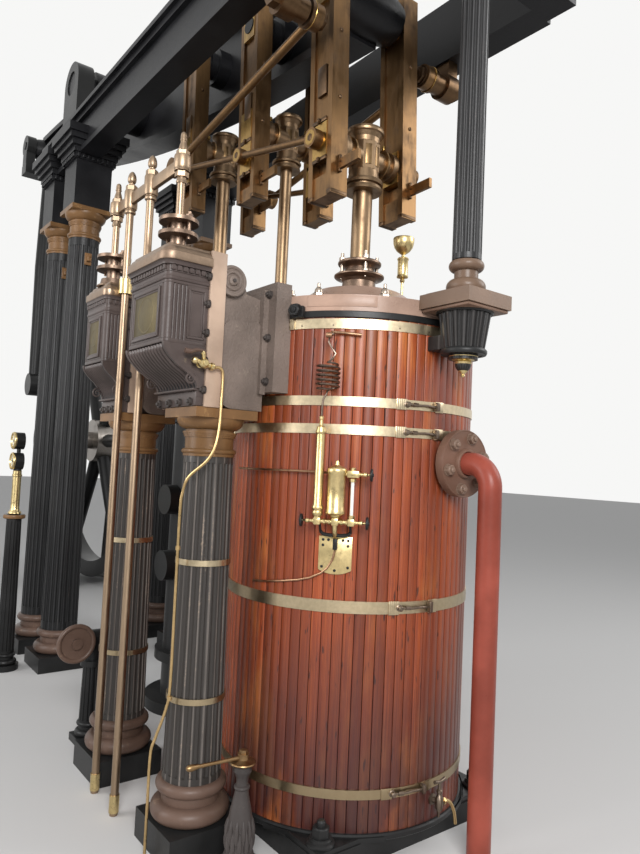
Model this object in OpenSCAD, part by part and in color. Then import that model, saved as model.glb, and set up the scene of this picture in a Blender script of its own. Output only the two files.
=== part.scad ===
// Compound beam engine seen from its cylinder end.
// X runs along the beam towards the low pressure cylinder, Y runs away from the valve chests,
// Z is up. The origin is on the floor, on the axis of the low pressure cylinder.

/* [Beam and stroke] */
// Distance from the trunnion to the end pin of the beam
beam_arm = 3000; // [2800:10:3200]
// Distance between the beam's pins for the two cylinders
cylinder_step = 720; // [700:10:760]
// Distance between the beam's end pin and its pin for the pump
pump_step = 1500; // [1400:10:1600]
// Tilt of the beam at either end of the stroke, in degrees
beam_tilt = 12; // [10:0.25:12.5]
// Height of the trunnion centre above the side girders
trunnion_rise = 385; // [370:5:410]
// Depth of the beam at the trunnion
beam_depth = 740; // [700:10:745]
// Depth of the beam at its ends
beam_end_depth = 300; // [240:10:320]
// Thickness of the beam's web
beam_web = 70; // [40:5:100]
// Width of the beam's rim
beam_rim_w = 200; // [140:10:240]
// Thickness of the beam's rim
beam_rim_t = 50; // [30:5:70]
// Radius of the drum at each end of the beam
drum_r = 132; // [120:2:140]
// Radius of the pins in the beam
pin_r = 45; // [35:1:50]
// Radius of the trunnion
trunnion_r = 95; // [70:5:110]

/* [Cylinders] */
// Radius of the low pressure cylinder over its lagging
low_r = 575; // [550:5:590]
// Radius of the high pressure cylinder over its lagging
high_r = 400; // [360:5:420]
// Height of the lagging's lower edge
lag_z0 = 90; // [80:5:110]
// Height of the lagging's upper edge
lag_z1 = 2215; // [2205:5:2220]
// Height of the cover ring's lower face
cover_z0 = 2242; // [2236:2:2250]
// Height of the cover ring's upper face
cover_z1 = 2311; // [2300:1:2330]
// Height of the dome of a cover
cover_dome = 130; // [90:5:140]
// Radius of a gland's discs
gland_r = 130; // [110:5:140]
// Height of the upper face of the glands on the cylinders
gland_z = 2625; // [2600:5:2645]
// Radius of the low pressure piston rod
low_rod_r = 50; // [40:1:55]
// Radius of the high pressure piston rod
high_rod_r = 35; // [30:1:42]
// Radius of the pump rod
pump_rod_r = 45; // [35:1:50]
// Clearance of a rod in its gland
rod_clear = 6; // [5:0.5:8]
// Thickness of a lagging band
band_t = 5; // [3:0.5:8]
// Side of the low pressure end of the bed plate
bed_side = 1040; // [1000:10:1080]

/* [Valve chests] */
// Place of the low pressure chest along the engine
low_chest_x = -55; // [-60:1:-50]
// Distance between the two chests
chest_pitch = 745; // [743:1:750]
// Width of the low pressure chest
low_chest_w = 370; // [350:5:380]
// Width of the high pressure chest
high_chest_w = 275; // [260:1:278]
// Distance of the low pressure chest's front from the beam's plane
low_chest_front = 1090; // [1080:5:1110]
// Distance of the high pressure chest's front from the beam's plane
high_chest_front = 1045; // [1030:5:1060]
// Distance of the chests' back from the beam's plane
chest_back = 905; // [895:5:910]
// Height of a chest's foot
chest_z0 = 1845; // [1835:5:1855]
// Height at which the scroll below a chest ends
scroll_z = 2045; // [2020:5:2060]
// Height of the panelled part's upper edge
panel_z1 = 2300; // [2280:5:2310]
// Height of the cap's lower face
cap_z0 = 2390; // [2370:5:2400]
// Thickness of the cap
cap_t = 52; // [40:2:60]
// Overhang of the low pressure chest's cap
cap_over = 26; // [16:2:30]
// Overhang of the high pressure chest's cap
high_cap_over = 14; // [10:1:16]
// Distance of the valve spindles from the beam's plane
spindle_y = 968; // [964:1:972]
// Radius of a valve spindle
spindle_r = 17; // [14:1:20]
// Distance of the far face of the steam passages' plate from the beam's plane
passage_y0 = 830; // [820:5:840]
// Height of the casing's upper edge
casing_z1 = 2182; // [2170:2:2190]
// Radius of the casing's round edges
casing_r = 62; // [50:2:70]
// Radius of the cross pipe that runs above a casing
cross_pipe_r = 66; // [60:1:72]
// Height of that pipe
cross_pipe_z = 2341; // [2336:1:2350]
// Height of a port flange's lower edge
port_z0 = 1890; // [1886:1:1900]
// Height of a port flange's upper edge
port_z1 = 2360; // [2350:5:2370]
// Distance of a port flange's face from its cylinder
port_out = 45; // [40:1:60]

/* [Pedestals and columns] */
// Place of the low pressure pedestal along the engine
pedestal_x = -10; // [-20:5:0]
// Distance between the two pedestals
pedestal_pitch = 800; // [780:5:820]
// Distance of the pedestals from the beam's plane
pedestal_y = 790; // [780:5:795]
// Side of a pedestal's plinth
plinth_side = 330; // [320:5:334]
// Height of a pedestal's plinth
plinth_h = 120; // [100:5:140]
// Radius of a pedestal's shaft at its foot
shaft_r0 = 122; // [115:1:130]
// Radius of a pedestal's shaft at its head
shaft_r1 = 105; // [100:1:112]
// Number of flutes round a shaft
flutes = 24; // [20:1:26]
// Distance between the two columns on one side
column_pitch = 560; // [520:5:600]
// Distance of the columns from the beam's plane
column_y = 535; // [525:5:545]
// Height of a column to the top of its capital
column_h = 3460; // [3400:10:3500]
// Radius of a column's shaft at its foot
column_r0 = 130; // [120:1:136]
// Radius of a column's shaft at its head
column_r1 = 112; // [104:1:118]

/* [Girders] */
// Distance of a girder's inner face from the beam's plane
girder_y = 500; // [490:5:510]
// Width of a girder
girder_w = 130; // [120:5:140]
// Height of the entablature between the columns and a girder
entablature_h = 390; // [370:5:410]
// Depth of a girder
girder_h = 340; // [320:5:360]
// Place of the end column along the engine
end_column_x = 700; // [695:5:720]
// Radius of the end column
end_column_r = 62; // [55:1:68]
// Height of the console's top, which carries the end column
console_z = 2330; // [2320:5:2340]

/* [Linkage] */
// Depth of the links' lower pins below the pins in the beam
link_drop = 796.265; // [780:0.005:810]
// Distance of a link's middle from the beam's plane
link_y = 235; // [232:1:240]
// Width of a link's bar
link_w = 100; // [90:2:102]
// Height of the pump's crosshead above the lower pins of its links
pump_cross_rise = 193; // [180:1:205]
// Thickness of a link's bar
link_t = 34; // [26:1:38]
// Gap between the two bars of a link
link_gap = 110; // [104:1:120]
// Length of a link's bars below its lower pin
link_tail = 280; // [260:5:320]
// Length of the pivots' brackets below the girders
pivot_drop = 130; // [120:2:140]
// Place of the radius rods' fixed pivot along the engine
pivot_x = 30; // [20:5:50]
// Distance of a radius rod's middle from the beam's plane
radius_rod_y = 378; // [376:1:384]
// Radius of a radius rod
radius_rod_r = 22; // [18:1:26]
// Gap between curved pieces that are seated on each other
seat = 0.3; // [0.2:0.05:0.5]
// Clearance of a pin, rod or shaft in its bearing
fit = 0.4; // [0.3:0.05:0.5]
// Clearance between pieces that pass each other
side_clear = 6; // [5:0.5:8]

/* [Crank and flywheel] */
// Height of the crankshaft above the floor
shaft_z = 1750; // [1740:5:1780]
// Radius of the crankshaft
shaft_r = 105; // [90:5:115]
// Radius of the flywheel
wheel_r = 1680; // [1600:10:1700]
// Depth of the flywheel's rim
rim_d = 190; // [150:10:220]
// Width of the flywheel's rim
rim_w = 230; // [180:10:260]
// Distance of the flywheel from the beam's plane
wheel_y = 860; // [840:10:880]
// Number of spokes
spokes = 6; // [5:1:8]
// Thickness of the crank
crank_t = 110; // [90:5:120]

/* [Valve gear] */
// Place of the first valve rod along the engine
valve_rod_x = -622; // [-626:1:-616]
// Distance between the two valve rods
valve_rod_pitch = 244; // [236:2:250]
// Radius of a valve rod
valve_rod_r = 18; // [14:1:19]
// Height of the yoke that joins rods and spindles
yoke_z = 2850; // [2840:5:2870]
// Travel of the valve gear
valve_travel = 60; // [40:5:60]

/* [Pipes and fittings] */
// Height of the flange on the low pressure cylinder's side
side_flange_z = 1625; // [1600:5:1635]
// Radius of that flange
side_flange_r = 145; // [135:5:150]
// Place of the flange and its pipe across the engine
side_pipe_y = 110; // [100:5:130]
// Distance of the pipe from the cylinder's axis
side_pipe_x = 775; // [765:5:790]
// Radius of the pipe
side_pipe_r = 49; // [44:1:54]
// Radius of a thin oil pipe
oil_pipe_r = 5; // [4:0.5:7]
// Number of turns of the oil coil
coil_turns = 6; // [5:1:7]

/* [Hidden] */
$fn = 48;

// Places that follow from the beam's geometry. The piston rods stand half way between the
// two ends of the small arcs that the pins of the beam swing through.
swing = (1 + cos(beam_tilt)) / 2;
trunnion_x = -beam_arm * swing;
high_arm = beam_arm - cylinder_step;
pump_arm = beam_arm - pump_step;
high_x = trunnion_x + high_arm * swing;
pump_x = trunnion_x + pump_arm * swing;
shaft_x = trunnion_x - beam_arm * swing;
crank_r = beam_arm * sin(beam_tilt);
function pin_x(arm) = trunnion_x + arm * cos(beam_tilt);
function pin_z(arm) = trunnion_z - arm * sin(beam_tilt);
high_chest_x = low_chest_x - chest_pitch;
high_pedestal_x = pedestal_x - pedestal_pitch;
girder_z0 = column_h + entablature_h;
trunnion_z = girder_z0 + girder_h + trunnion_rise;
casing_z0 = chest_z0 - 37;
lub_z = lag_z1 - 815;
pivot_z = girder_z0 - pivot_drop;
// Exact parallel motion at rest: every lower pin lies link_drop below its beam pin, and each
// crosshead lies on the line from the trunnion to the low pressure crosshead.
low_cross_z = pin_z(beam_arm) - link_drop;
function foot_x(arm) = (arm - beam_arm) * cos(beam_tilt);
function foot_z(arm) = low_cross_z + (beam_arm - arm) * sin(beam_tilt);
function cross_z(arm) = trunnion_z - (trunnion_z - low_cross_z) * arm / beam_arm;
high_cross_z = cross_z(high_arm);
pump_cross_z = foot_z(pump_arm) + pump_cross_rise;
link_lean = atan((pin_x(beam_arm)) / link_drop);
link_len = norm([pin_x(beam_arm), link_drop]);
boss_y = link_y - link_w / 2 - side_clear;
pin_end = link_y + link_w / 2 + 8;
bar_y = pin_end + side_clear + 24;
journal_r = pin_r + 8;
journal_end = link_y - link_w / 2 - 4 - seat;
column_xs = [trunnion_x - column_pitch / 2, trunnion_x + column_pitch / 2];
spindle_z0 = panel_z1 - 60;

// A bar round one line along Y
module along_y(r, y0, y1) { translate([0, y0, 0]) rotate([-90, 0, 0]) cylinder(r = r, h = y1 - y0); }
// A bar round one line along X
module along_x(r, x0, x1) { translate([x0, 0, 0]) rotate([0, 90, 0]) cylinder(r = r, h = x1 - x0); }
// A box from one corner to the other
module block(a, b) { translate(a) cube(b - a); }
// Both sides of the beam's plane
module both_sides() { for (s = [0, 1]) mirror([0, s, 0]) children(); }
// A plan outline whose corners are round
module round_plan(w, d, r) {
    square([w - 2 * r, d], center = true);
    square([w, d - 2 * r], center = true);
    for (i = [-1, 1], j = [-1, 1]) translate([i * (w / 2 - r), j * (d / 2 - r)]) circle(r);
}
// A shaft with flutes that follow its taper
module fluted_shaft(r0, r1, h, n) {
    lean = atan((r0 - r1) / h);
    flute = PI * r1 / n * 0.8;
    difference() {
        cylinder(r1 = r0, r2 = r1, h = h);
        for (i = [0:n - 1]) rotate([0, 0, i * 360 / n])
            translate([r0 + flute * 0.45, 0, h * 0.02]) rotate([0, -lean, 0])
                cylinder(r = flute, h = h * 0.96, $fn = 16);
    }
}
// A ring of half round section
module torus(r, t) { rotate_extrude() translate([r, 0]) circle(t); }
// A moulded foot of two rounds with a hollow between them
module attic_base(r, h) {
    t0 = h * 0.23;
    t1 = h * 0.16;
    rotate_extrude() difference() {
        union() {
            square([r * 1.34 - t0, 2 * t0]);
            square([r * 1.2 - t1, h]);
            translate([r * 1.34 - t0, t0]) circle(t0);
            translate([r * 1.2 - t1, h - t1]) circle(t1);
        }
        translate([r * 1.08, 2 * t0]) square([r, h - 2 * t0 - 2 * t1]);
        translate([r * 1.2 + 0.01, h - 2 * t1]) square([r, 2 * t1 + 1]);
        translate([-2 * r, -h]) square([2 * r, 3 * h]);
    }
}
// A turned capital below a square slab
module turned_capital(r, h, side, slab) {
    top = h - slab;
    ovolo = top * 0.3;
    rotate_extrude() {
        square([r * 0.98, top]);
        square([r * 1.04, top * 0.07]);
        translate([r, top * 0.13]) circle(top * 0.07);
        for (i = [0:2]) translate([0, top * (0.5 + i * 0.05)]) square([r * (1.03 + i * 0.03), top * 0.05]);
        intersection() {
            translate([r * 1.36 - ovolo, top]) circle(ovolo);
            translate([0, top * 0.6]) square([r * 1.4, top * 0.4]);
        }
    }
    translate([-side / 2, -side / 2, h - slab]) cube([side, side, slab]);
}
// A six sided nut
module nut(r, h) { cylinder(r = r, h = h, $fn = 6); }
// A ring of copies round the Z axis
module ring_of(n, r, start = 0) {
    for (i = [0:n - 1]) rotate([0, 0, start + i * 360 / n]) translate([r, 0, 0]) children();
}

module bed_plate() color("#1d1e20") {
    high_side = 2 * high_r - 40;
    difference() {
        union() {
            block([-bed_side / 2, -bed_side / 2, 0], [bed_side / 2, bed_side / 2, lag_z0]);
            block([high_x - high_side / 2, -high_side / 2, 0], [0, high_side / 2, lag_z0]);
        }
    }
    for (i = [-1, 1]) translate([bed_side / 2 - 60, i * (bed_side / 2 - 60), lag_z0])
        holding_bolt();
    for (i = [-1, 1]) translate([-bed_side / 2 + 60, i * (bed_side / 2 - 60), lag_z0])
        holding_bolt();
}
module holding_bolt() {
    cylinder(r = 48, h = 14);
    translate([0, 0, 14]) nut(36, 30);
    cylinder(r = 18, h = 66);
}

module rod_bores() {
    translate([0, 0, lag_z0 + 60]) cylinder(r = low_rod_r + rod_clear, h = gland_z);
    translate([high_x, 0, lag_z0 + 60]) cylinder(r = high_rod_r + rod_clear, h = gland_z);
}
module cylinder_lagging() color("#8a3b1e") difference() {
    union() {
        translate([0, 0, lag_z0]) cylinder(r = low_r, h = lag_z1 - lag_z0, $fn = 96);
        translate([high_x, 0, lag_z0]) cylinder(r = high_r, h = lag_z1 - lag_z0, $fn = 96);
    }
    rod_bores();
}

band_zs = [[250, 288], [991, 1041], [1723, 1764], [1841, 1881], [2166, 2208]];
module twin_ring(z0, z1, grow, inset) difference() {
    union() {
        translate([0, 0, z0]) cylinder(r = low_r + grow, h = z1 - z0, $fn = 96);
        translate([high_x, 0, z0]) cylinder(r = high_r + grow, h = z1 - z0, $fn = 96);
    }
    translate([0, 0, z0 - 1]) cylinder(r = low_r - inset, h = z1 - z0 + 2, $fn = 96);
    translate([high_x, 0, z0 - 1]) cylinder(r = high_r - inset, h = z1 - z0 + 2, $fn = 96);
}
module lagging_bands() color("#b08d3c") for (z = band_zs) twin_ring(z[0], z[1], band_t, 0);

module cover(r, rod_r) difference() {
    union() {
        cylinder(r = r - 6, h = cover_z0 - lag_z1);
        translate([0, 0, cover_z0 - lag_z1]) cylinder(r = r + 4, h = cover_z1 - cover_z0);
        translate([0, 0, cover_z1 - lag_z1]) rotate_extrude() polygon([
            [0, 0], [r * 0.62, 0], [r * 0.56, cover_dome * 0.5], [r * 0.4, cover_dome], [0, cover_dome]]);
    }
    translate([0, 0, -1]) cylinder(r = rod_r + rod_clear, h = cover_dome + 200);
}
module cylinder_covers() color("#6f5546") {
    difference() {
        union() {
            translate([0, 0, lag_z1]) cover(low_r, low_rod_r);
            translate([high_x, 0, lag_z1]) cover(high_r, high_rod_r);
        }
        rod_bores();
    }
}

// Two discs on a neck, drawn together by studs. The bush in the neck guides the rod.
module gland(z0, z1, r, rod_r) difference() {
    union() {
        translate([0, 0, z0]) cylinder(r = rod_r + 38, h = z1 - z0);
        for (z = [z1 - 24, z1 - 130]) translate([0, 0, z]) rotate_extrude() intersection() {
            translate([0, 12]) scale(1) circle(r);
            square([r, 24]);
        }
        ring_of(2, r * 0.72, 45) translate([0, 0, z1 - 136]) {
            cylinder(r = 11, h = 176);
            translate([0, 0, 136]) nut(21, 20);
        }
    }
    translate([0, 0, z0 - 1]) cylinder(r = rod_r + fit, h = z1 - z0 + 2);
}
module cylinder_glands() color("#8d6c4c") {
    z0 = cover_z1 + cover_dome;
    gland(z0, gland_z, gland_r, low_rod_r);
    translate([high_x, 0, 0]) gland(z0, gland_z - 45, gland_r - 20, high_rod_r);
    for (x = [0, high_x]) translate([x, 0, cover_z1])
        ring_of(8, (x == 0 ? low_r : high_r) * 0.82, 22.5) { nut(26, 26); cylinder(r = 15, h = 58); }
}

// Side outline of a chest: the panelled body above an S shaped scroll. f is how far its front
// stands from the beam's plane.
console_y = pedestal_y + plinth_side / 2 - 20;
scroll_bulge = 63;
function scroll_y(t, f) = t < 0.5
    ? f - (1 - cos(t * 180)) * scroll_bulge
    : f - scroll_bulge - sin((t - 0.5) * 180) * (f - scroll_bulge - console_y);
module chest_side(f) polygon(concat(
    [[chest_back, chest_z0], [chest_back, panel_z1], [f, panel_z1]],
    [for (i = [0:16]) [scroll_y(i / 16, f), scroll_z - (scroll_z - chest_z0 - 32) * i / 16]],
    [[console_y, chest_z0]]));
// The side outline pushed through along X
module chest_slab(f, x0, x1) mirror([0, 1, 0])
    translate([x0, 0, 0]) rotate([90, 0, 90]) linear_extrude(x1 - x0) chest_side(f);

module valve_chest(x, w, front, over, reeds) translate([x, 0, 0]) {
    half = w / 2;
    difference() {
        chest_slab(front, -half, half);
        spindle_bore();
        block([-half + 66, -front - 1, scroll_z + 22], [half - 66, -front + 14, panel_z1 - 22]);
        for (s = [-1, 1]) translate([s * half, 0, 0])
            block([-14, -front + 70, scroll_z + 22], [14, -chest_back - 14, panel_z1 - 22]);
        for (i = [0:reeds]) translate([-half + 12 + i * (w - 24) / reeds, 0, 0])
            intersection() {
                difference() { chest_slab(front + 5, -4, 4); chest_slab(front - 12, -5, 5); }
                block([-6, -front - 6, chest_z0 + 30], [6, -chest_back, scroll_z - 8]);
            }
        for (s = [-1, 1], i = [0:2]) translate([s * (half - 14 - i * 17), -front, 0])
            translate([0, 0, scroll_z + 20]) cylinder(r = 6, h = panel_z1 - scroll_z - 40);
    }
    difference() {
        chest_cornice(half, front, over);
        spindle_bore();
    }
}
module spindle_bore() translate([0, -spindle_y, spindle_z0 - 15]) cylinder(r = spindle_r + rod_clear, h = 300);
module chest_cornice(half, front, over) {
    steps = [[0, panel_z1, panel_z1 + 24], [over / 2, panel_z1 + 24, panel_z1 + 52], [over, panel_z1 + 52, cap_z0]];
    for (s = steps) block([-half - s[0], -front - s[0], s[1]], [half + s[0], -chest_back, s[2]]);
    n = floor(half / 14);
    for (i = [0:n - 1]) translate([-half + 6 + i * (2 * half - 12 - 16) / (n - 1), 0, 0])
        block([0, -front - over / 2 - 8, panel_z1 + 28], [16, -front - over / 2, panel_z1 + 52]);
    for (s = [-1, 1], i = [0:3]) translate([s * (half + over / 2), -front + 10 + i * 34, 0])
        block([s > 0 ? 0 : -8, 0, panel_z1 + 28], [s > 0 ? 8 : 0, 16, panel_z1 + 52]);
}
module low_valve_chest() color("#4a423c") valve_chest(low_chest_x, low_chest_w, low_chest_front, cap_over, 14);
module high_valve_chest() color("#453e39") valve_chest(high_chest_x, high_chest_w, high_chest_front, high_cap_over, 11);

module chest_cap(x, w, front, over) translate([x, 0, cap_z0]) {
    d = front + over - chest_back;
    difference() {
        translate([0, -front - over + d / 2, 0]) {
            linear_extrude(cap_t * 0.4) round_plan(w + 2 * over, d, 46);
            linear_extrude(cap_t) round_plan(w + 2 * over - 16, d - 16, 40);
        }
        translate([0, -spindle_y, -1]) cylinder(r = spindle_r + rod_clear, h = cap_t + 2);
    }
}
module chest_caps() color("#7b6455") {
    chest_cap(low_chest_x, low_chest_w, low_chest_front, cap_over);
    chest_cap(high_chest_x, high_chest_w, high_chest_front, high_cap_over);
}

chest_gland_h = 160;
module chest_glands() color("#8d6c4c") for (x = [low_chest_x, high_chest_x])
    translate([x, -spindle_y, 0]) small_gland(cap_z0 + cap_t, cap_z0 + cap_t + chest_gland_h);
module small_gland(z0, z1) difference() {
    union() {
        translate([0, 0, z0]) cylinder(r1 = 66, r2 = 58, h = 40);
        translate([0, 0, z0]) cylinder(r = 34, h = z1 - z0);
        for (z = [z1 - 16, z1 - 76]) translate([0, 0, z]) rotate_extrude() intersection() {
            translate([0, 8]) circle(84);
            square([84, 16]);
        }
        ring_of(2, 60, 20) translate([0, 0, z1 - 90]) {
            cylinder(r = 8, h = 118);
            translate([0, 0, 90]) nut(15, 16);
        }
    }
    translate([0, 0, z0 - 1]) cylinder(r = spindle_r + fit, h = z1 - z0 + 2);
}

// Passage from a chest's back to its cylinder: a flat flange strip, the casing with its round far
// edges, the cross pipe above it and a web that falls from the pipe to the port flange
module passage(x, y1, w) translate([x, 0, 0]) {
    half = w / 2;
    block([-half, -chest_back, chest_z0 - 40], [half, -passage_y0, cap_z0 + cap_t]);
    mirror([0, 1, 0]) {
        translate([-half + 8, 0, 0]) rotate([90, 0, 90]) linear_extrude(w - 16) {
            intersection() {
                translate([(passage_y0 + y1) / 2 - casing_r, (casing_z0 + casing_z1) / 2])
                    round_plan(passage_y0 - y1 + 2 * casing_r, casing_z1 - casing_z0, casing_r);
                translate([y1, 0]) square([passage_y0 - y1, casing_z1]);
            }
        }
        translate([-half + 20, 0, 0]) rotate([90, 0, 90]) linear_extrude(w - 40) polygon(concat(
            [[passage_y0, casing_z1 - 30], [passage_y0, cross_pipe_z], [passage_y0 - 90, cross_pipe_z]],
            [for (a = [0:15:75]) [passage_y0 - 90 - 26 * sin(a), cross_pipe_z - 52 + 52 * cos(a)]],
            [[y1, cross_pipe_z - 54], [y1, casing_z1 - 30]]));
        translate([0, passage_y0 - 33, cross_pipe_z]) along_x(cross_pipe_r, -half, half);
        block([-half - 12, y1, port_z0 - 10], [half + 12, y1 + 26, cross_pipe_z - 10]);
    }
}
module steam_passages() color("#55524f") {
    passage(low_chest_x, low_r + port_out, low_chest_w);
    passage(high_chest_x, high_r + port_out, high_chest_w);
}
module port_flanges() color("#4b4a49") {
    port_flange(0, low_r, 200);
    port_flange(high_x, high_r, 140);
}
module clear_of_lagging() {
    translate([0, 0, lag_z0]) cylinder(r = low_r + seat, h = lag_z1, $fn = 96);
    translate([high_x, 0, lag_z0]) cylinder(r = high_r + seat, h = lag_z1, $fn = 96);
    translate([0, 0, cover_z0 - seat]) cylinder(r = low_r + 4 + seat, h = port_z1, $fn = 96);
    translate([high_x, 0, cover_z0 - seat]) cylinder(r = high_r + 4 + seat, h = port_z1, $fn = 96);
    for (z = band_zs) twin_ring(z[0] - seat, z[1] + seat, band_t + seat, 10);
}
module port_flange(x, r, half) difference() {
    block([x - half, -r - port_out, port_z0], [x + half, -r * 0.4, port_z1]);
    clear_of_lagging();
}

module at_pedestals() for (x = [pedestal_x, high_pedestal_x]) translate([x, -pedestal_y, 0]) children();
base_h = 160;
capital_h = 200;
module pedestal_plinths() color("#232220") at_pedestals()
    block([-plinth_side / 2, -plinth_side / 2, 0], [plinth_side / 2, plinth_side / 2, plinth_h]);
module pedestal_bases() color("#6b5140") at_pedestals()
    translate([0, 0, plinth_h]) attic_base(shaft_r0, base_h);
module pedestal_shafts() color("#2f302f") at_pedestals() {
    z0 = plinth_h + base_h;
    translate([0, 0, z0]) fluted_shaft(shaft_r0, shaft_r1, chest_z0 - 40 - capital_h - z0, flutes);
}
module pedestal_capitals() color("#8a6238") at_pedestals()
    translate([0, 0, chest_z0 - 40 - capital_h]) turned_capital(shaft_r1, capital_h, 290, 40);
module pedestal_bands() color("#b08d3c") at_pedestals() for (t = [0.24, 0.66]) {
    z0 = plinth_h + base_h;
    r = shaft_r0 + (shaft_r1 - shaft_r0) * t;
    translate([0, 0, z0 + (chest_z0 - 40 - capital_h - z0) * t]) difference() {
        cylinder(r = r + 5, h = 24);
        translate([0, 0, -1]) cylinder(r = r + 0.3, h = 26);
    }
}

module at_columns() for (x = column_xs, s = [-1, 1]) translate([x, s * column_y, 0]) children();
col_plinth_h = 110;
col_base_h = 170;
col_cap_h = 230;
module column_plinths() color("#2a2927") at_columns()
    block([-185, -185, 0], [185, 185, col_plinth_h]);
module column_bases() color("#5d4a3d") at_columns()
    translate([0, 0, col_plinth_h]) attic_base(column_r0, col_base_h);
module column_shafts() color("#2b2c2c") at_columns() {
    z0 = col_plinth_h + col_base_h;
    translate([0, 0, z0]) fluted_shaft(column_r0, column_r1, column_h - col_cap_h - z0, flutes);
}
module column_capitals() color("#80593a") at_columns()
    translate([0, 0, column_h - col_cap_h]) turned_capital(column_r1, col_cap_h, 300, 34);

module side_girders() color("#1b1d20") both_sides() {
    x0 = trunnion_x - column_pitch / 2 - 260;
    x1 = end_column_x - 80;
    block([x0, girder_y, girder_z0], [x1, girder_y + girder_w, girder_z0 + girder_h]);
    for (x = column_xs) translate([x, column_y, 0]) entablature_block();
    for (z = [[girder_z0, 30, 40], [girder_z0 + girder_h - 70, 30, 40], [girder_z0 + girder_h - 30, 55, 30]])
        block([x0, girder_y + girder_w, z[0]], [x1, girder_y + girder_w + z[1], z[0] + z[2]]);
}
// Square block on a column with a cornice of growing steps round the girder above it
module entablature_block() {
    side = 272;
    block([-side / 2, -side / 2, column_h], [side / 2, side / 2, girder_z0 + 40]);
    for (i = [0:4]) {
        half = side / 2 + [14, 30, 52, 74, 92][i];
        z = girder_z0 - 40 + i * 42;
        block([-half, -half, z], [half, half, z + (i == 4 ? 60 : 42)]);
    }
}
module end_girder() color("#1b1d20") {
    x0 = end_column_x - 80;
    block([x0, -girder_y - girder_w, girder_z0], [x0 + 160, girder_y + girder_w, girder_z0 + girder_h]);
}
module end_column() color("#2b2c2c") translate([end_column_x, 0, 0]) {
    translate([0, 0, console_z]) attic_base(end_column_r, 150);
    translate([0, 0, console_z + 150])
        fluted_shaft(end_column_r, end_column_r - 3, girder_z0 - 160 - console_z - 150, 16);
    translate([0, 0, girder_z0 - 160]) turned_capital(end_column_r, 160, 180, 30);
}
corbel_z = console_z - 250;
module end_console() color("#3a2f29") translate([end_column_x, 0, 0]) {
    difference() {
        union() {
            block([-135, -135, console_z - 60], [135, 135, console_z]);
            translate([0, 0, corbel_z]) mirror([0, 0, 1]) translate([0, 0, corbel_z - console_z + 60])
                fluted_shaft(112, 84, console_z - 60 - corbel_z, 18);
            block([low_r - end_column_x - 30, -80, corbel_z + 20], [0, 80, corbel_z + 80]);
        }
        translate([-end_column_x, 0, 0]) clear_of_lagging();
        translate([-end_column_x, 0, cover_z0 - 10]) cylinder(r = low_r + 4 + seat, h = 400, $fn = 96);
    }
    translate([0, 0, corbel_z - 22]) cylinder(r = 60, h = 22);
    translate([0, 0, corbel_z - 40]) sphere(r = 34);
}

module trunnion_bearings() color("#26282b") both_sides() translate([trunnion_x, 0, 0]) {
    z0 = girder_z0 + girder_h;
    difference() {
        union() {
            block([-260, girder_y, z0], [260, girder_y + girder_w, z0 + 60]);
            block([-170, girder_y, z0 + 60], [170, girder_y + girder_w, trunnion_z]);
            translate([0, 0, trunnion_z]) along_y(170, girder_y, girder_y + girder_w);
        }
        translate([0, 0, trunnion_z]) along_y(trunnion_r + fit, girder_y - 1, girder_y + girder_w + 1);
    }
    for (i = [-1, 1]) translate([i * 215, girder_y + girder_w / 2, z0 + 60]) { nut(34, 32); cylinder(r = 17, h = 52); }
}

module pivot_brackets() color("#3b3029") both_sides() translate([pivot_x, 0, 0]) {
    y0 = radius_rod_y + 24 + side_clear;
    block([-52, girder_y + 10, pivot_z], [52, girder_y + 80, girder_z0]);
    translate([0, 0, pivot_z]) {
        along_y(72, girder_y + 2, girder_y + 88);
        along_y(56, y0 + 26, girder_y + 2);
        along_y(66, y0, y0 + 18);
        along_y(34, radius_rod_y - 27, y0 + 26);
        translate([0, girder_y + 88, 0]) rotate([-90, 0, 0]) nut(50, 40);
    }
}

// Stands under the two bearings of the crankshaft
module shaft_pedestals() color("#26282b") for (y = shaft_bearing_ys) translate([shaft_x, y, 0]) {
    difference() {
        union() {
            block([-420, -110, 0], [420, 110, 70]);
            translate([0, 90, 0]) rotate([90, 0, 0]) linear_extrude(180)
                polygon([[-360, 70], [360, 70], [190, shaft_z], [-190, shaft_z]]);
            translate([0, 0, shaft_z]) along_y(190, -90, 90);
        }
        translate([0, 0, shaft_z]) along_y(shaft_r + fit, -120, 120);
    }
}
crank_y0 = 96;
shaft_bearing_ys = [crank_y0 + crank_t + 120, wheel_y + rim_w / 2 + 190];

pump_h = 1900;
pump_r = 230;
module pump_barrel() color("#2a2c2e") translate([pump_x, 0, 0]) difference() {
    union() {
        cylinder(r = pump_r + 100, h = 70);
        cylinder(r = pump_r, h = pump_h);
        for (z = [300, pump_h - 80]) translate([0, 0, z]) cylinder(r = pump_r + 50, h = 60);
        translate([0, 0, pump_h]) cylinder(r = 110, h = 160);
        for (z = [900, 1320]) translate([0, -pump_r, z]) rotate([90, 0, 0]) cylinder(r = 95, h = 70);
    }
    translate([0, 0, pump_foot_z - 100]) cylinder(r = pump_rod_r + rod_clear, h = pump_h - pump_foot_z + 110);
    translate([0, 0, pump_foot_z - 100]) cylinder(r = pump_rod_r + fit, h = pump_h);
}
pump_foot_z = 1000;

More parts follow.
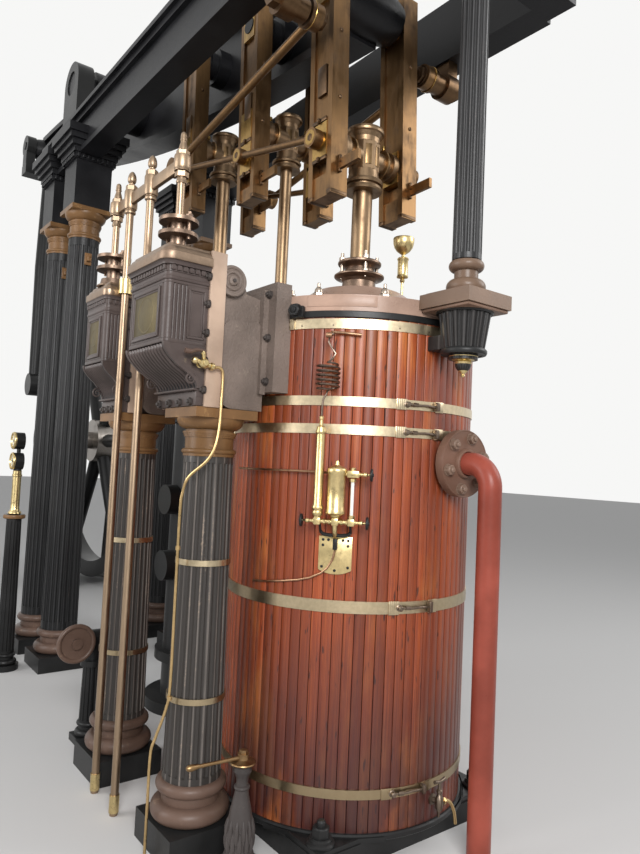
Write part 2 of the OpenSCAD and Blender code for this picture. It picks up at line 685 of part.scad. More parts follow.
module side_flange() color("#5a3f33") translate([0, side_pipe_y, side_flange_z]) difference() {
    union() {
        along_x(80, low_r - 60, low_r + 30);
        along_x(side_flange_r, low_r + 22, low_r + 62);
        for (a = [0:5]) rotate([a * 60 + 15, 0, 0]) translate([low_r + 62, side_flange_r - 32, 0])
            rotate([0, 90, 0]) nut(20, 18);
    }
    translate([0, -side_pipe_y, -side_flange_z]) clear_of_lagging();
    along_x(side_pipe_r + fit, low_r + 40, low_r + 100);
}
module side_pipe() color("#a35446") translate([0, side_pipe_y, 0]) {
    bend = 100;
    translate([0, 0, side_flange_z]) along_x(side_pipe_r, low_r + 40, side_pipe_x - bend);
    translate([side_pipe_x - bend, 0, side_flange_z - bend]) rotate([90, 0, 0])
        rotate_extrude(angle = 90) translate([bend, 0]) circle(side_pipe_r);
    translate([side_pipe_x, 0, 0]) cylinder(r = side_pipe_r, h = side_flange_z - bend);
}

// Place on the lagging's face at angle a and height z, facing outwards
module on_lagging(a, z) rotate([0, 0, a]) translate([low_r, 0, z]) children();
lub_a = -47;
module lubricator() color("#b08d3c") on_lagging(lub_a, lub_z) {
    block([seat, -34, -110], [8, 34, 40]);
    block([8, -16, -20], [60, 16, 20]);
    translate([70, 0, 0]) {
        cylinder(r = 14, h = 190);
        translate([0, 0, 60]) cylinder(r = 38, h = 170);
        along_y(9, -120, 120);
        for (s = [-1, 1]) translate([0, s * 112, 0]) along_y(24, -5, 5);
    }
    translate([70, -70, 0]) { cylinder(r = 15, h = 340); translate([0, 0, 340]) cylinder(r = 20, h = 20); }
    translate([0, -30, 735]) along_x(12, seat, 90);
}
module oil_coil() color("#6e6a66") on_lagging(lub_a, lub_z + 505) translate([78, -30, 0]) {
    for (i = [0:coil_turns - 1]) translate([0, 0, i * 26]) torus(46, 11);
    translate([46, 0, 0]) cylinder(r = 8, h = 26 * (coil_turns - 1));
    translate([0, 0, 130]) cylinder(r = 6, h = 88 - seat);
    block([-6, -6, 127], [46, 6, 135]);
}
module pipe_run(points, r) for (i = [1:len(points) - 1]) {
    d = points[i] - points[i - 1];
    translate(points[i - 1]) rotate([0, acos(d[2] / norm(d)), atan2(d[1], d[0])]) cylinder(r = r, h = norm(d));
    if (i < len(points) - 1) translate(points[i]) sphere(r = r * 1.3, $fn = 24);
}
// Route of the drain pipe from the chest's side down the front of its pedestal
module oil_pipes() color("#b08d3c") {
    x = pedestal_x + 50;
    y = -pedestal_y - shaft_r0 - 18;
    side = low_chest_x + low_chest_w / 2;
    pipe_run([[side, -870, 1985], [side + 40, -870, 1985], [side + 40, -870, 1640],
        [x, y, 1470], [x, y, 640], [x - 40, -985, 440], [x - 40, -985, 0]], oil_pipe_r);
}

valve_xs = [valve_rod_x, valve_rod_x + valve_rod_pitch];
module rod_guides() color("#b08d3c") {
    for (x = valve_xs) translate([x, -spindle_y, 0]) difference() {
        cylinder(r = valve_rod_r + 4, h = valve_travel + 30);
        cylinder(r = valve_rod_r + 16, h = 14);
        translate([0, 0, -1]) cylinder(r = valve_rod_r + fit, h = 200);
    }
    cap_side = high_chest_x + high_chest_w / 2 + high_cap_over;
    difference() {
        union() {
            block([cap_side, -spindle_y - 20, cap_z0 + 6], [valve_rod_x, -spindle_y + 20, cap_z0 + cap_t - 6]);
            translate([valve_rod_x, -spindle_y, cap_z0 - 10]) cylinder(r = valve_rod_r + 14, h = cap_t + 20);
        }
        translate([valve_rod_x, -spindle_y, 2000]) cylinder(r = valve_rod_r + fit, h = 600);
        block([cap_side - 60, -spindle_y - 60, cap_z0 - 60], [cap_side, -spindle_y + 60, cap_z0 + cap_t + 60]);
    }
}

lever_x = 285;
lever_y = -725;
module lever_stand() color("#2c2b2a") translate([lever_x, lever_y, 0]) {
    rotate_extrude() polygon([[0, 0], [92, 0], [92, 40], [60, 66], [72, 120], [68, 180], [48, 262], [36, 330],
        [34, 372], [42, 376], [42, 386], [34, 392], [60, 402], [60, 410], [0, 410]]);
}
module start_lever() color("#8a7355") translate([lever_x, lever_y, 410.5]) {
    rotate_extrude() polygon([[0, 0], [56, 0], [66, 10], [62, 20], [30, 34], [24, 52], [0, 58]]);
    rotate([0, 0, -95]) translate([0, 0, 16]) { along_x(11, 50, 215); translate([222, 0, 0]) sphere(r = 15); }
}

stand_x = -1210;
stand_y = -800;
stem_y = stand_y - 130;
stem_z = 570;
module wheel_stand() color("#2c2b2a") translate([stand_x, stand_y, 0]) {
    block([-80, -80, 0], [80, 80, 40]);
    translate([0, 0, 40]) attic_base(56, 80);
    translate([0, 0, 120]) fluted_shaft(56, 50, 300, 14);
    translate([0, 0, 420]) cylinder(r = 66, h = 30);
    translate([0, 0, 450]) cylinder(r = 40, h = stem_z - 450);
    translate([0, 0, stem_z]) {
        along_y(42, -130, 90);
        for (y = [-60, 60]) along_y(56, y - 9, y + 9);
        translate([0, -130, 0]) { sphere(r = 50); along_x(15, 0, 88); }
    }
}
module stand_wheel() color("#6b4a35") translate([stand_x + 95, stem_y, stem_z]) rotate([0, 90, 0]) difference() {
    union() {
        rotate_extrude() translate([92, 0]) circle(13);
        cylinder(r = 92, h = 9, center = true);
        cylinder(r = 28, h = 44, center = true);
    }
    translate([0, 0, -23]) cylinder(r = 15 + fit, h = 20);
}
gauge_x = -2750;
gauge_y = -890;
module gauge_stand() color("#343331") translate([gauge_x, gauge_y, 0]) {
    cylinder(r = 95, h = 40);
    translate([0, 0, 40]) attic_base(60, 80);
    translate([0, 0, 120]) fluted_shaft(60, 52, 970, 14);
    translate([0, 0, 1090]) cylinder(r = 70, h = 30);
    translate([0, 0, 1120]) cylinder(r = 28, h = 400);
    for (z = [1510, 1660]) translate([0, 0, z]) rotate([90, 0, 0]) cylinder(r = 62, h = 60, center = true);
    translate([0, 0, 1560]) cylinder(r = 14, h = 60);
}
module cover_oilers() color("#b08d3c") {
    translate([60, 190, cover_z1 + cover_dome]) {
        cylinder(r = 10, h = 270);
        translate([0, 0, 60]) cylinder(r = 24, h = 110);
        translate([0, 0, 230]) cylinder(r1 = 20, r2 = 52, h = 50);
    }
}

// Outline of half the beam, its edges curved like a bow
function beam_half(x) = beam_end_depth / 2 + (beam_depth - beam_end_depth) / 2 * (1 - pow(x / beam_arm, 2));
module beam_outline(d) polygon(concat(
    [for (i = [-20:20]) [i / 20 * (beam_arm - d * 0.6), beam_half(i / 20 * beam_arm) - d]],
    [for (i = [-20:20]) [-i / 20 * (beam_arm - d * 0.6), -beam_half(i / 20 * beam_arm) + d]]));
module beam() color("#16181b") translate([trunnion_x, 0, trunnion_z]) rotate([0, beam_tilt, 0]) {
    rotate([90, 0, 0]) {
        translate([0, 0, -beam_web / 2]) linear_extrude(beam_web) beam_outline(0);
        translate([0, 0, -beam_rim_w / 2]) linear_extrude(beam_rim_w) difference() {
            beam_outline(0);
            beam_outline(beam_rim_t);
        }
    }
    for (x = [-beam_arm, beam_arm]) translate([x, 0, 0]) { barrel(drum_r, boss_y); beam_pin(); }
    for (x = [high_arm, pump_arm]) translate([x, 0, 0]) {
        along_y(120, -120, 120);
        along_y(85, -boss_y + 14, boss_y - 14);
        along_y(66, -boss_y, boss_y);
        beam_pin();
    }
    along_y(230, -150, 150);
    along_y(150, -girder_y + 40, girder_y - 40);
    along_y(trunnion_r, -girder_y - girder_w + 10, girder_y + girder_w - 10);
}
// A drum along Y that swells in the middle
module barrel(r, half) rotate([90, 0, 0]) rotate_extrude() polygon(concat(
    [[0, -half]], [for (i = [-8:8]) [r * (1 - 0.2 * pow(abs(i) / 8, 2.5)), half * i / 8]], [[0, half]]));
module beam_pin() along_y(pin_r, -pin_end, pin_end);

// One pair of links between the beam and the parallel bars. mid is the distance of the
// crosshead's journal above the lower pin.
module link_frame(arm) both_sides() translate([foot_x(arm), link_y, foot_z(arm)])
    rotate([0, link_lean, 0]) children();
module link_bars(mid, tail) {
    top = link_len + 132;
    for (s = [-1, 1]) translate([s * (link_gap + link_t) / 2, 0, 0]) difference() {
        block([-link_t / 2, -link_w / 2, -tail], [link_t / 2, link_w / 2, top]);
        block([-link_t, -10, -170], [link_t, 10, -90]);
    }
    half = link_gap / 2;
    block([-half, -link_w / 2, link_len + brass_up], [half, link_w / 2, top]);
    block([-half, -link_w / 2 + 10, mid + brass_h], [half, link_w / 2 - 10, link_len - brass_h]);
    if (mid > 3 * brass_h) block([-half, -link_w / 2 + 10, brass_h], [half, link_w / 2 - 10, mid - brass_h]);
    block([-half, -link_w / 2 + 10, -tail], [half, link_w / 2 - 10, -170]);
    block([-half - link_t - 30, -9, -160], [half + link_t + 150, 9, -112]);
    block([-half - link_t - 14, -9, -112], [half + link_t + 14, 9, -90]);
}
brass_h = 84;
brass_up = 96;
module link_brasses(mid) {
    half = link_gap / 2;
    along_y(pin_r - 5, 0, bar_y - 24 - seat - link_y);
    for (z = mid > brass_h ? [0, mid] : [0]) translate([0, 0, z])
        block([-half, -link_w / 2 - 4, z > 0 && mid < 2 * brass_h + 1 ? brass_h - mid : -brass_h],
            [half, link_w / 2 + 4, brass_h]);
    translate([0, 0, link_len]) difference() {
        block([-half, -link_w / 2 - 4, -brass_h], [half, link_w / 2 + 4, brass_up]);
        along_y(pin_r + fit, -link_w, link_w);
    }
}
function cross_up(z, arm) = (z - foot_z(arm)) / cos(link_lean);
module low_links() color("#7c5532") link_frame(beam_arm) link_bars(0, link_tail);
module high_links() color("#7c5532") link_frame(high_arm) link_bars(cross_up(high_cross_z, high_arm), link_tail - 35);
module pump_links() color("#7c5532") link_frame(pump_arm) link_bars(cross_up(pump_cross_z, pump_arm), link_tail);
module link_brasses_low() color("#a38345") link_frame(beam_arm) link_brasses(0);
module link_brasses_high() color("#a38345") link_frame(high_arm) link_brasses(cross_up(high_cross_z, high_arm));
module link_brasses_pump() color("#a38345") link_frame(pump_arm) link_brasses(cross_up(pump_cross_z, pump_arm));

// Rod with its crosshead: two collars, a cone, an eight sided body with a flared lip, two journals
module rod_with_head(x, z, r, foot) translate([x, 0, 0]) {
    translate([0, 0, foot]) cylinder(r = r, h = z - 100 - foot);
    translate([0, 0, z - 178]) rotate_extrude() polygon([
        [0, 0], [r + 44, 0], [r + 48, 8], [r + 44, 22], [r + 34, 24], [r + 34, 32], [r + 48, 34], [r + 52, 44],
        [r + 46, 56], [r + 32, 58], [r + 24, 108], [0, 108]]);
    translate([0, 0, z - 72]) cylinder(r = r + 28, h = 144, $fn = 8);
    translate([0, 0, z + 70]) rotate_extrude() polygon([
        [0, 0], [r + 24, 0], [r + 27, 24], [r + 38, 44], [r + 46, 50], [r + 48, 60], [r + 44, 72], [0, 72]]);
    translate([0, 0, z]) {
        along_y(journal_r + 4, -journal_end, journal_end);
        both_sides() along_y(journal_r + 22, boss_y - 36, boss_y - 4);
    }
}
module low_piston_rod() color("#8a6a50") rod_with_head(0, low_cross_z, low_rod_r, lag_z0 + 200);
module high_piston_rod() color("#8a6f4d") rod_with_head(high_x, high_cross_z, high_rod_r, lag_z0 + 200);
module pump_rod() color("#7a5236") rod_with_head(pump_x, pump_cross_z, pump_rod_r, pump_foot_z);

// A bar with an eye at each end, between two points of one side
module eyed_bar(p, q, y, r, eye) {
    d = q - p;
    translate([p[0], y, p[1]]) rotate([0, atan2(d[0], d[1]), 0]) {
        translate([0, 0, eye * 0.6]) cylinder(r = r, h = norm(d) - eye * 1.2);
        along_y(eye, -24, 24);
        translate([0, 0, norm(d)]) along_y(eye, -24, 24);
    }
}
module radius_rods() color("#6f4b31") both_sides() difference() {
    union() {
        eyed_bar([pivot_x, pivot_z], [foot_x(pump_arm), foot_z(pump_arm)], radius_rod_y, radius_rod_r, 62);
        translate([foot_x(pump_arm), 0, foot_z(pump_arm)]) along_y(pin_r - 5, bar_y + 24 + seat, radius_rod_y);
    }
    translate([pivot_x, 0, pivot_z]) along_y(34 + fit, radius_rod_y - 100, radius_rod_y + 100);
}
module parallel_bars() color("#5b4637") both_sides() {
    eyed_bar([0, low_cross_z], [foot_x(pump_arm), foot_z(pump_arm)], bar_y, 18, 47);
    translate([foot_x(high_arm), 0, foot_z(high_arm)]) along_y(43, bar_y - 24, bar_y + 24);
}

rod_end_x = trunnion_x - beam_arm * cos(beam_tilt);
rod_end_z = trunnion_z + crank_r;
module connecting_rod() color("#2c2d2f") {
    foot_z = shaft_z + crank_r;
    dx = rod_end_x - shaft_x;
    dz = rod_end_z - foot_z;
    l = norm([dx, dz]);
    translate([shaft_x, 0, foot_z]) rotate([0, atan(dx / dz), 0]) {
        translate([0, 0, 120]) cylinder(r1 = 62, r2 = 80, h = l / 2 - 120);
        translate([0, 0, l / 2]) cylinder(r1 = 80, r2 = 62, h = l / 2 - 330);
        along_y(130, -70, 70);
        along_y(62, -70, crank_y0 - seat);
        translate([0, 0, l - 340]) {
            block([-90, -link_y - 50, 0], [90, link_y + 50, 110]);
            both_sides() block([-75, link_y - 50, 110], [75, link_y + 50, 260]);
        }
        both_sides() difference() {
            translate([0, 0, l]) along_y(120, link_y - 50, link_y + 50);
            translate([0, 0, l]) along_y(pin_r + fit, link_y - 60, link_y + 60);
        }
    }
}
module crank() color("#232527") translate([shaft_x, 0, shaft_z]) {
    difference() {
        union() {
            along_y(220, crank_y0, crank_y0 + crank_t);
            translate([0, 0, crank_r]) along_y(150, crank_y0, crank_y0 + crank_t);
            block([-130, crank_y0, 0], [130, crank_y0 + crank_t, crank_r]);
        }
        along_y(shaft_r, crank_y0 - 1, crank_y0 + crank_t + 1);
    }
}
hub_r = 260;
module crankshaft() color("#4a4b4d") translate([shaft_x, 0, shaft_z]) {
    along_y(shaft_r, crank_y0, shaft_bearing_ys[1] + 140);
    along_y(hub_r, wheel_y - 130, wheel_y + 130);
}
module at_wheel() translate([shaft_x, wheel_y, shaft_z]) rotate([-90, 0, 0]) children();
module flywheel_rim() color("#1f2123") at_wheel()
    rotate_extrude($fn = 96) translate([wheel_r - rim_d, -rim_w / 2]) square([rim_d, rim_w]);
module flywheel_spokes() color("#1f2123") at_wheel() for (i = [0:spokes - 1]) rotate([0, 0, i * 360 / spokes]) {
    tip_r = 60;
    rim_in = sqrt(pow(wheel_r - rim_d - seat, 2) - pow(tip_r, 2));
    translate([hub_r + seat, 0, 0]) rotate([0, 90, 0]) cylinder(r1 = 82, r2 = tip_r, h = rim_in - hub_r - seat);
}

module valve_rods() color("#a8875c") for (x = valve_xs) translate([x, -spindle_y, 0]) {
    translate([0, 0, 1]) cylinder(r = valve_rod_r, h = yoke_z - 46);
    translate([0, 0, yoke_z + 42]) { cylinder(r = 24, h = 30); translate([0, 0, 30]) cylinder(r1 = 17, r2 = 8, h = 50); }
}
module valve_yoke() color("#7d6a55") difference() {
    union() {
        block([high_chest_x, -spindle_y - 11, yoke_z - 28], [low_chest_x, -spindle_y + 11, yoke_z + 28]);
        for (x = valve_xs) translate([x, -spindle_y, yoke_z - 45]) cylinder(r = 34, h = 87);
        for (x = [low_chest_x, high_chest_x]) translate([x, -spindle_y, 0]) {
            translate([0, 0, yoke_z - 50]) cylinder(r = 30, h = 100);
            translate([0, 0, yoke_z + 50]) cylinder(r = 20, h = 30);
            translate([0, 0, yoke_z + 80]) cylinder(r1 = 14, r2 = 7, h = 50);
            translate([0, 0, spindle_z0]) cylinder(r = spindle_r, h = yoke_z - spindle_z0);
        }
    }
}

bed_plate();
cylinder_lagging();
lagging_bands();
cylinder_covers();
cylinder_glands();
low_valve_chest();
high_valve_chest();
chest_caps();
chest_glands();
steam_passages();
port_flanges();
pedestal_plinths();
pedestal_bases();
pedestal_shafts();
pedestal_capitals();
pedestal_bands();
column_plinths();
column_bases();
column_shafts();
column_capitals();
side_girders();
end_girder();
end_column();
end_console();
trunnion_bearings();
pivot_brackets();
shaft_pedestals();
pump_barrel();
side_flange();
side_pipe();
lubricator();
oil_coil();
oil_pipes();
rod_guides();
lever_stand();
wheel_stand();
gauge_stand();
cover_oilers();
beam();
low_links();
high_links();
pump_links();
link_brasses_low();
link_brasses_high();
link_brasses_pump();
low_piston_rod();
high_piston_rod();
pump_rod();
radius_rods();
parallel_bars();
connecting_rod();
crank();
crankshaft();
flywheel_rim();
flywheel_spokes();
valve_rods();
valve_yoke();
start_lever();
stand_wheel();
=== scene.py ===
"""Looks of a compound beam engine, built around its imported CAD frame.

Every length is in metres. The origin is on the floor under the axis of the low pressure cylinder,
+X runs outwards along the beam, -Y is the side of the valve chests and +Z is up.
"""

import logging
from dataclasses import dataclass, field
from enum import Enum
from math import acos, cos, degrees, hypot, pi, radians, sin, sqrt
from typing import Any, Optional, Sequence, Union

import bmesh
import bpy
from mathutils import Matrix, Vector


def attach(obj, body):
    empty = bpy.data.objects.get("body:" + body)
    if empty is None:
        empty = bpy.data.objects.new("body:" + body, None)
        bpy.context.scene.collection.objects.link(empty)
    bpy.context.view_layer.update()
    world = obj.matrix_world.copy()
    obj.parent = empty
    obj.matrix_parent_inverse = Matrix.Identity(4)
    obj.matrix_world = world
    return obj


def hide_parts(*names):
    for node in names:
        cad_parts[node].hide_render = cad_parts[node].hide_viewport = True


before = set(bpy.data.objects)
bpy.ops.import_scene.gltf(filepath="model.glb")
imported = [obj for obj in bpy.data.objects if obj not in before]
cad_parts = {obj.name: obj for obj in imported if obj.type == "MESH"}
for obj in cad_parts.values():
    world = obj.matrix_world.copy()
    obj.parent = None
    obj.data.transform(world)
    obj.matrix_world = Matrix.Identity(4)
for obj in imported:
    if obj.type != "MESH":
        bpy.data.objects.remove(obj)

logging.basicConfig(level=logging.INFO, format="%(levelname)s %(message)s")
LOG = logging.getLogger("beam_engine")

Number = Union[int, float]
Colour = tuple[float, float, float]
Point = tuple[float, float, float]

UP: Point = (0.0, 0.0, 1.0)
DOWN: Point = (0.0, 0.0, -1.0)
OUTWARD: Point = (1.0, 0.0, 0.0)
FAR: Point = (0.0, 1.0, 0.0)
NEAR: Point = (0.0, -1.0, 0.0)


# Shader building blocks


class Sock:
    """One output of a shader node, which takes part in Python arithmetic."""

    def __init__(self, tree: "ShaderTree", socket: bpy.types.NodeSocket) -> None:
        """Wrap a socket.

        Args:
            tree: the tree that the socket belongs to.
            socket: the output socket.
        """
        self.tree = tree
        self.socket = socket

    def _math(self, operation: str, first: Any, second: Any = None) -> "Sock":
        """Add one Math node.

        Args:
            operation: the Math node's operation.
            first: its first value or socket.
            second: its second value or socket.

        Returns:
            The node's result.
        """
        values = {0: first} if second is None else {0: first, 1: second}
        return self.tree.node("ShaderNodeMath", {"operation": operation}, values)

    def __add__(self, other: Any) -> "Sock":
        """Return self + other."""
        return self._math("ADD", self, other)

    def __radd__(self, other: Any) -> "Sock":
        """Return other + self."""
        return self._math("ADD", other, self)

    def __sub__(self, other: Any) -> "Sock":
        """Return self - other."""
        return self._math("SUBTRACT", self, other)

    def __rsub__(self, other: Any) -> "Sock":
        """Return other - self."""
        return self._math("SUBTRACT", other, self)

    def __mul__(self, other: Any) -> "Sock":
        """Return self * other."""
        return self._math("MULTIPLY", self, other)

    def __rmul__(self, other: Any) -> "Sock":
        """Return other * self."""
        return self._math("MULTIPLY", other, self)

    def __truediv__(self, other: Any) -> "Sock":
        """Return self / other."""
        return self._math("DIVIDE", self, other)

    def floor(self) -> "Sock":
        """Return the whole part."""
        return self._math("FLOOR", self)

    def fract(self) -> "Sock":
        """Return the part after the point."""
        return self._math("FRACT", self)

    def above(self, edge: Number) -> "Sock":
        """Return 1 where the value is above edge, else 0."""
        return self._math("GREATER_THAN", self, edge)

    def ramp(self, low: Number, high: Number) -> "Sock":
        """Return 0 at low rising smoothly to 1 at high."""
        return self.tree.node(
            "ShaderNodeMapRange",
            {"interpolation_type": "SMOOTHSTEP", "clamp": True},
            {"Value": self, "From Min": low, "From Max": high},
        )


class ShaderTree:
    """A material's node tree with one way to add a node."""

    def __init__(self, name: str) -> None:
        """Start an empty material.

        Args:
            name: the material's name.
        """
        self.material = bpy.data.materials.new(name)
        self.material.use_nodes = True
        self.tree = self.material.node_tree
        self.tree.nodes.clear()
        self._coords: Optional[Sock] = None

    def node(
        self,
        kind: str,
        settings: Optional[dict[str, Any]] = None,
        inputs: Optional[dict[Union[str, int], Any]] = None,
        output: Union[str, int] = 0,
    ) -> Sock:
        """Add any node.

        Args:
            kind: the node's type name.
            settings: its properties, set first. "stops" sets a colour ramp's stops.
            inputs: the values or links of its sockets, by name or place.
            output: the output to hand back, by name or place.

        Returns:
            The chosen output.
        """
        node = self.tree.nodes.new(kind)
        for key, value in (settings or {}).items():
            if key == "stops":
                self._set_stops(node, value)
            else:
                setattr(node, key, value)
        for key, value in (inputs or {}).items():
            socket = self._input(node, key)
            if isinstance(value, Sock):
                self.tree.links.new(value.socket, socket)
            else:
                socket.default_value = value
        outputs = [s for s in node.outputs if s.enabled]
        if not outputs:
            return Sock(self, node.inputs[0])
        return Sock(self, node.outputs[output] if isinstance(output, str) else outputs[output])

    @staticmethod
    def _input(node: bpy.types.Node, key: Union[str, int]) -> bpy.types.NodeSocket:
        """Find an enabled input by name or place."""
        enabled = [s for s in node.inputs if s.enabled]
        if isinstance(key, int):
            return enabled[key]
        return next(s for s in enabled if s.name == key)

    @staticmethod
    def _set_stops(node: bpy.types.Node, stops: Sequence[tuple[float, Sequence[float]]]) -> None:
        """Set a colour ramp's stops from pairs of place and colour."""
        elements = node.color_ramp.elements
        while len(elements) < len(stops):
            elements.new(0.5)
        for element, (place, colour) in zip(elements, stops):
            element.position = place
            element.color = (*colour, 1.0)

    def coords(self, centre: Point = (0.0, 0.0, 0.0), scale: Point = (1.0, 1.0, 1.0)) -> Sock:
        """Return object coordinates, shifted so that centre is 0, then scaled."""
        if self._coords is None:
            self._coords = self.node("ShaderNodeTexCoord", output="Object")
        place = tuple(-c * s for c, s in zip(centre, scale))
        return self.node("ShaderNodeMapping", {},
                         {"Vector": self._coords, "Location": place, "Scale": scale})

    def noise(self, vector: Sock, scale: float, detail: float = 4.0, rough: float = 0.55) -> Sock:
        """Return fractal noise between about 0.2 and 0.8."""
        return self.node(
            "ShaderNodeTexNoise", {}, {"Vector": vector, "Scale": scale, "Detail": detail,
                                       "Roughness": rough}, "Fac"
        )

    def split(self, vector: Sock) -> tuple[Sock, Sock, Sock]:
        """Return a vector's three parts."""
        first = self.node("ShaderNodeSeparateXYZ", {}, {"Vector": vector}, "X")
        node = first.socket.node
        return first, Sock(self, node.outputs["Y"]), Sock(self, node.outputs["Z"])

    def mix(self, factor: Any, first: Any, second: Any, blend: str = "MIX") -> Sock:
        """Mix two colours."""
        values = {"Factor": factor, "A": self._colour(first), "B": self._colour(second)}
        settings = {"data_type": "RGBA", "blend_type": blend}
        return self.node("ShaderNodeMix", settings, values, output=0)

    @staticmethod
    def _colour(value: Any) -> Any:
        """Give a plain colour its alpha."""
        return value if isinstance(value, Sock) else (*value, 1.0)

    def bump(self, height: Sock, distance: float, strength: float = 1.0) -> Sock:
        """Return a normal bent by a height."""
        return self.node(
            "ShaderNodeBump", {}, {"Height": height, "Distance": distance, "Strength": strength}, "Normal"
        )

    def surface(self, **inputs: Any) -> bpy.types.Material:
        """Finish with a Principled shader.

        Args:
            **inputs: its sockets, with underscores for spaces.

        Returns:
            The finished material.
        """
        values = {key.replace("_", " "): value for key, value in inputs.items()}
        if not isinstance(values.get("Base Color"), Sock):
            values["Base Color"] = (*values["Base Color"], 1.0)
        shader = self.node("ShaderNodeBsdfPrincipled", {}, values)
        self.node("ShaderNodeOutputMaterial", {}, {"Surface": shader})
        return self.material


# Finishes


@dataclass(frozen=True)
class Finish:
    """A finish that can make its material."""

    name: str

    def material(self) -> bpy.types.Material:
        """Return this finish's material, made once."""
        found = bpy.data.materials.get(self.name)
        return found or self.build(ShaderTree(self.name))

    def build(self, tree: ShaderTree) -> bpy.types.Material:
        """Build the material in a tree."""
        raise NotImplementedError


@dataclass(frozen=True)
class PaintedIron(Finish):
    """Castings under old oil paint, rubbed thin in places."""

    colour: Colour = (0.02, 0.02, 0.02)
    rubbed: Colour = (0.09, 0.055, 0.03)
    wear: float = 0.35
    rough: float = 0.38
    grain: float = 1.0

    def build(self, tree: ShaderTree) -> bpy.types.Material:
        """Build the paint from cloudy tone, rubbed patches and a cast texture."""
        at = tree.coords()
        cloud = tree.noise(at, 3.2, 5.0)
        patch = tree.noise(at, 14.0, 6.0, 0.65)
        speck = tree.noise(at, 90.0, 3.0, 0.6)
        tone = tree.mix(cloud.ramp(0.3, 0.75), self.colour, tuple(c * 1.7 + 0.004 for c in self.colour))
        worn = (patch * 0.7 + speck * 0.3).ramp(0.72 - 0.22 * self.wear, 0.86 - 0.16 * self.wear)
        colour = tree.mix(worn * min(1.0, self.wear * 1.6), tone, self.rubbed)
        rough = cloud * 0.22 + speck * 0.12 + (self.rough - 0.16)
        height = speck * 0.5 + patch * 0.6
        return tree.surface(
            Base_Color=colour,
            Roughness=rough,
            Metallic=worn * 0.35,
            IOR=1.33,
            Normal=tree.bump(height, 0.0016 * self.grain, 0.55),
        )


@dataclass(frozen=True)
class FlutedPaint(PaintedIron):
    """Paint of a fluted shaft, rubbed light along its ridges, with painted shade darkening its flutes."""

    centre: tuple[float, float] = (0.0, 0.0)
    step: tuple[float, float] = (0.0, 0.0)
    flutes: int = 24
    brown_from: float = 99.0
    brown_to: float = 99.0
    brown: Colour = (0.13, 0.082, 0.055)

    def build(self, tree: ShaderTree) -> bpy.types.Material:
        """Build the paint from the angle round the nearest shaft's axis."""
        at = tree.coords()
        x, y, z = tree.split(at)
        local_x = x - self.centre[0]
        local_y = y - self.centre[1]
        if self.step[0]:
            local_x = local_x - local_x.above(self.step[0] / 2) * self.step[0]
        if self.step[1]:
            local_y = local_y - local_y.above(self.step[1] / 2) * self.step[1]
        angle = tree.node("ShaderNodeMath", {"operation": "ARCTAN2"}, {0: local_y, 1: local_x})
        phase = ((angle / (2 * pi)) * self.flutes + (self.flutes + 0.5)).fract() - 0.5
        ridge = (phase * phase * 4.0).ramp(0.45, 0.95)
        cloud = tree.noise(at, 3.2, 5.0)
        patch = tree.noise(tree.coords(scale=(1.0, 1.0, 0.4)), 16.0, 6.0, 0.65)
        speck = tree.noise(at, 90.0, 3.0, 0.6)
        tone = tree.mix(cloud.ramp(0.3, 0.75), self.colour, tuple(c * 1.6 + 0.003 for c in self.colour))
        # Painted shade: away from the ridges, the flutes are darkened to a third of the paint's colour.
        tone = tree.mix(ridge, tuple(c * 0.35 for c in self.colour), tone)
        if self.brown_from < 99.0:
            plain = tree.mix(cloud.ramp(0.3, 0.75), self.brown, tuple(c * 1.5 for c in self.brown))
            tone = tree.mix(z.above(self.brown_from) * (1.0 - z.above(self.brown_to)), tone, plain)
        worn = (patch * 0.7 + speck * 0.3 + ridge * 0.12).ramp(0.74 - 0.2 * self.wear,
                                                               0.92 - 0.16 * self.wear)
        colour = tree.mix(worn * min(1.0, self.wear * 1.5), tone, self.rubbed)
        rough = cloud * 0.22 + speck * 0.12 + (self.rough - 0.16)
        return tree.surface(
            Base_Color=colour,
            Roughness=rough,
            Metallic=worn * 0.3,
            IOR=1.36,
            Normal=tree.bump(speck * 0.5 + patch * 0.6, 0.0016 * self.grain, 0.55),
        )


@dataclass(frozen=True)
class WarmMetal(Finish):
    """Turned or polished metal under a thin film of oil and tarnish."""

    colour: Colour = (0.55, 0.38, 0.14)
    film: Colour = (0.16, 0.085, 0.03)
    tarnish: float = 0.4
    rough: float = 0.28
    streak: Point = (1.0, 1.0, 1.0)
    darker_below: float = 0.0

    def build(self, tree: ShaderTree) -> bpy.types.Material:
        """Build the metal from tarnish clouds, fine scratches and smears."""
        at = tree.coords()
        cloud = tree.noise(at, 7.0, 5.0, 0.6)
        fine = tree.noise(tree.coords(scale=self.streak), 55.0, 4.0, 0.6)
        smear = tree.noise(tree.coords(scale=(1.0, 1.0, 0.25)), 26.0, 5.0, 0.65)
        mask = (cloud * 0.55 + smear * 0.45).ramp(0.62 - 0.28 * self.tarnish, 0.82 - 0.1 * self.tarnish)
        shade = tree.mix(fine.ramp(0.25, 0.8), tuple(c * 0.78 for c in self.colour), self.colour)
        colour = tree.mix(mask * min(1.0, 0.35 + self.tarnish), shade, self.film)
        # Below this height the colour is mixed towards the film colour, darker towards the bottom.
        if self.darker_below:
            height = tree.split(at)[2]
            colour = tree.mix((height * -1.0).ramp(-self.darker_below, -0.2) * 0.85, colour, self.film)
        rough = mask * 0.26 + fine * 0.16 + (self.rough - 0.08)
        return tree.surface(
            Base_Color=colour,
            Roughness=rough,
            Metallic=1.0 - mask * 0.45,
            Normal=tree.bump(fine, 0.0006, 0.35),
        )


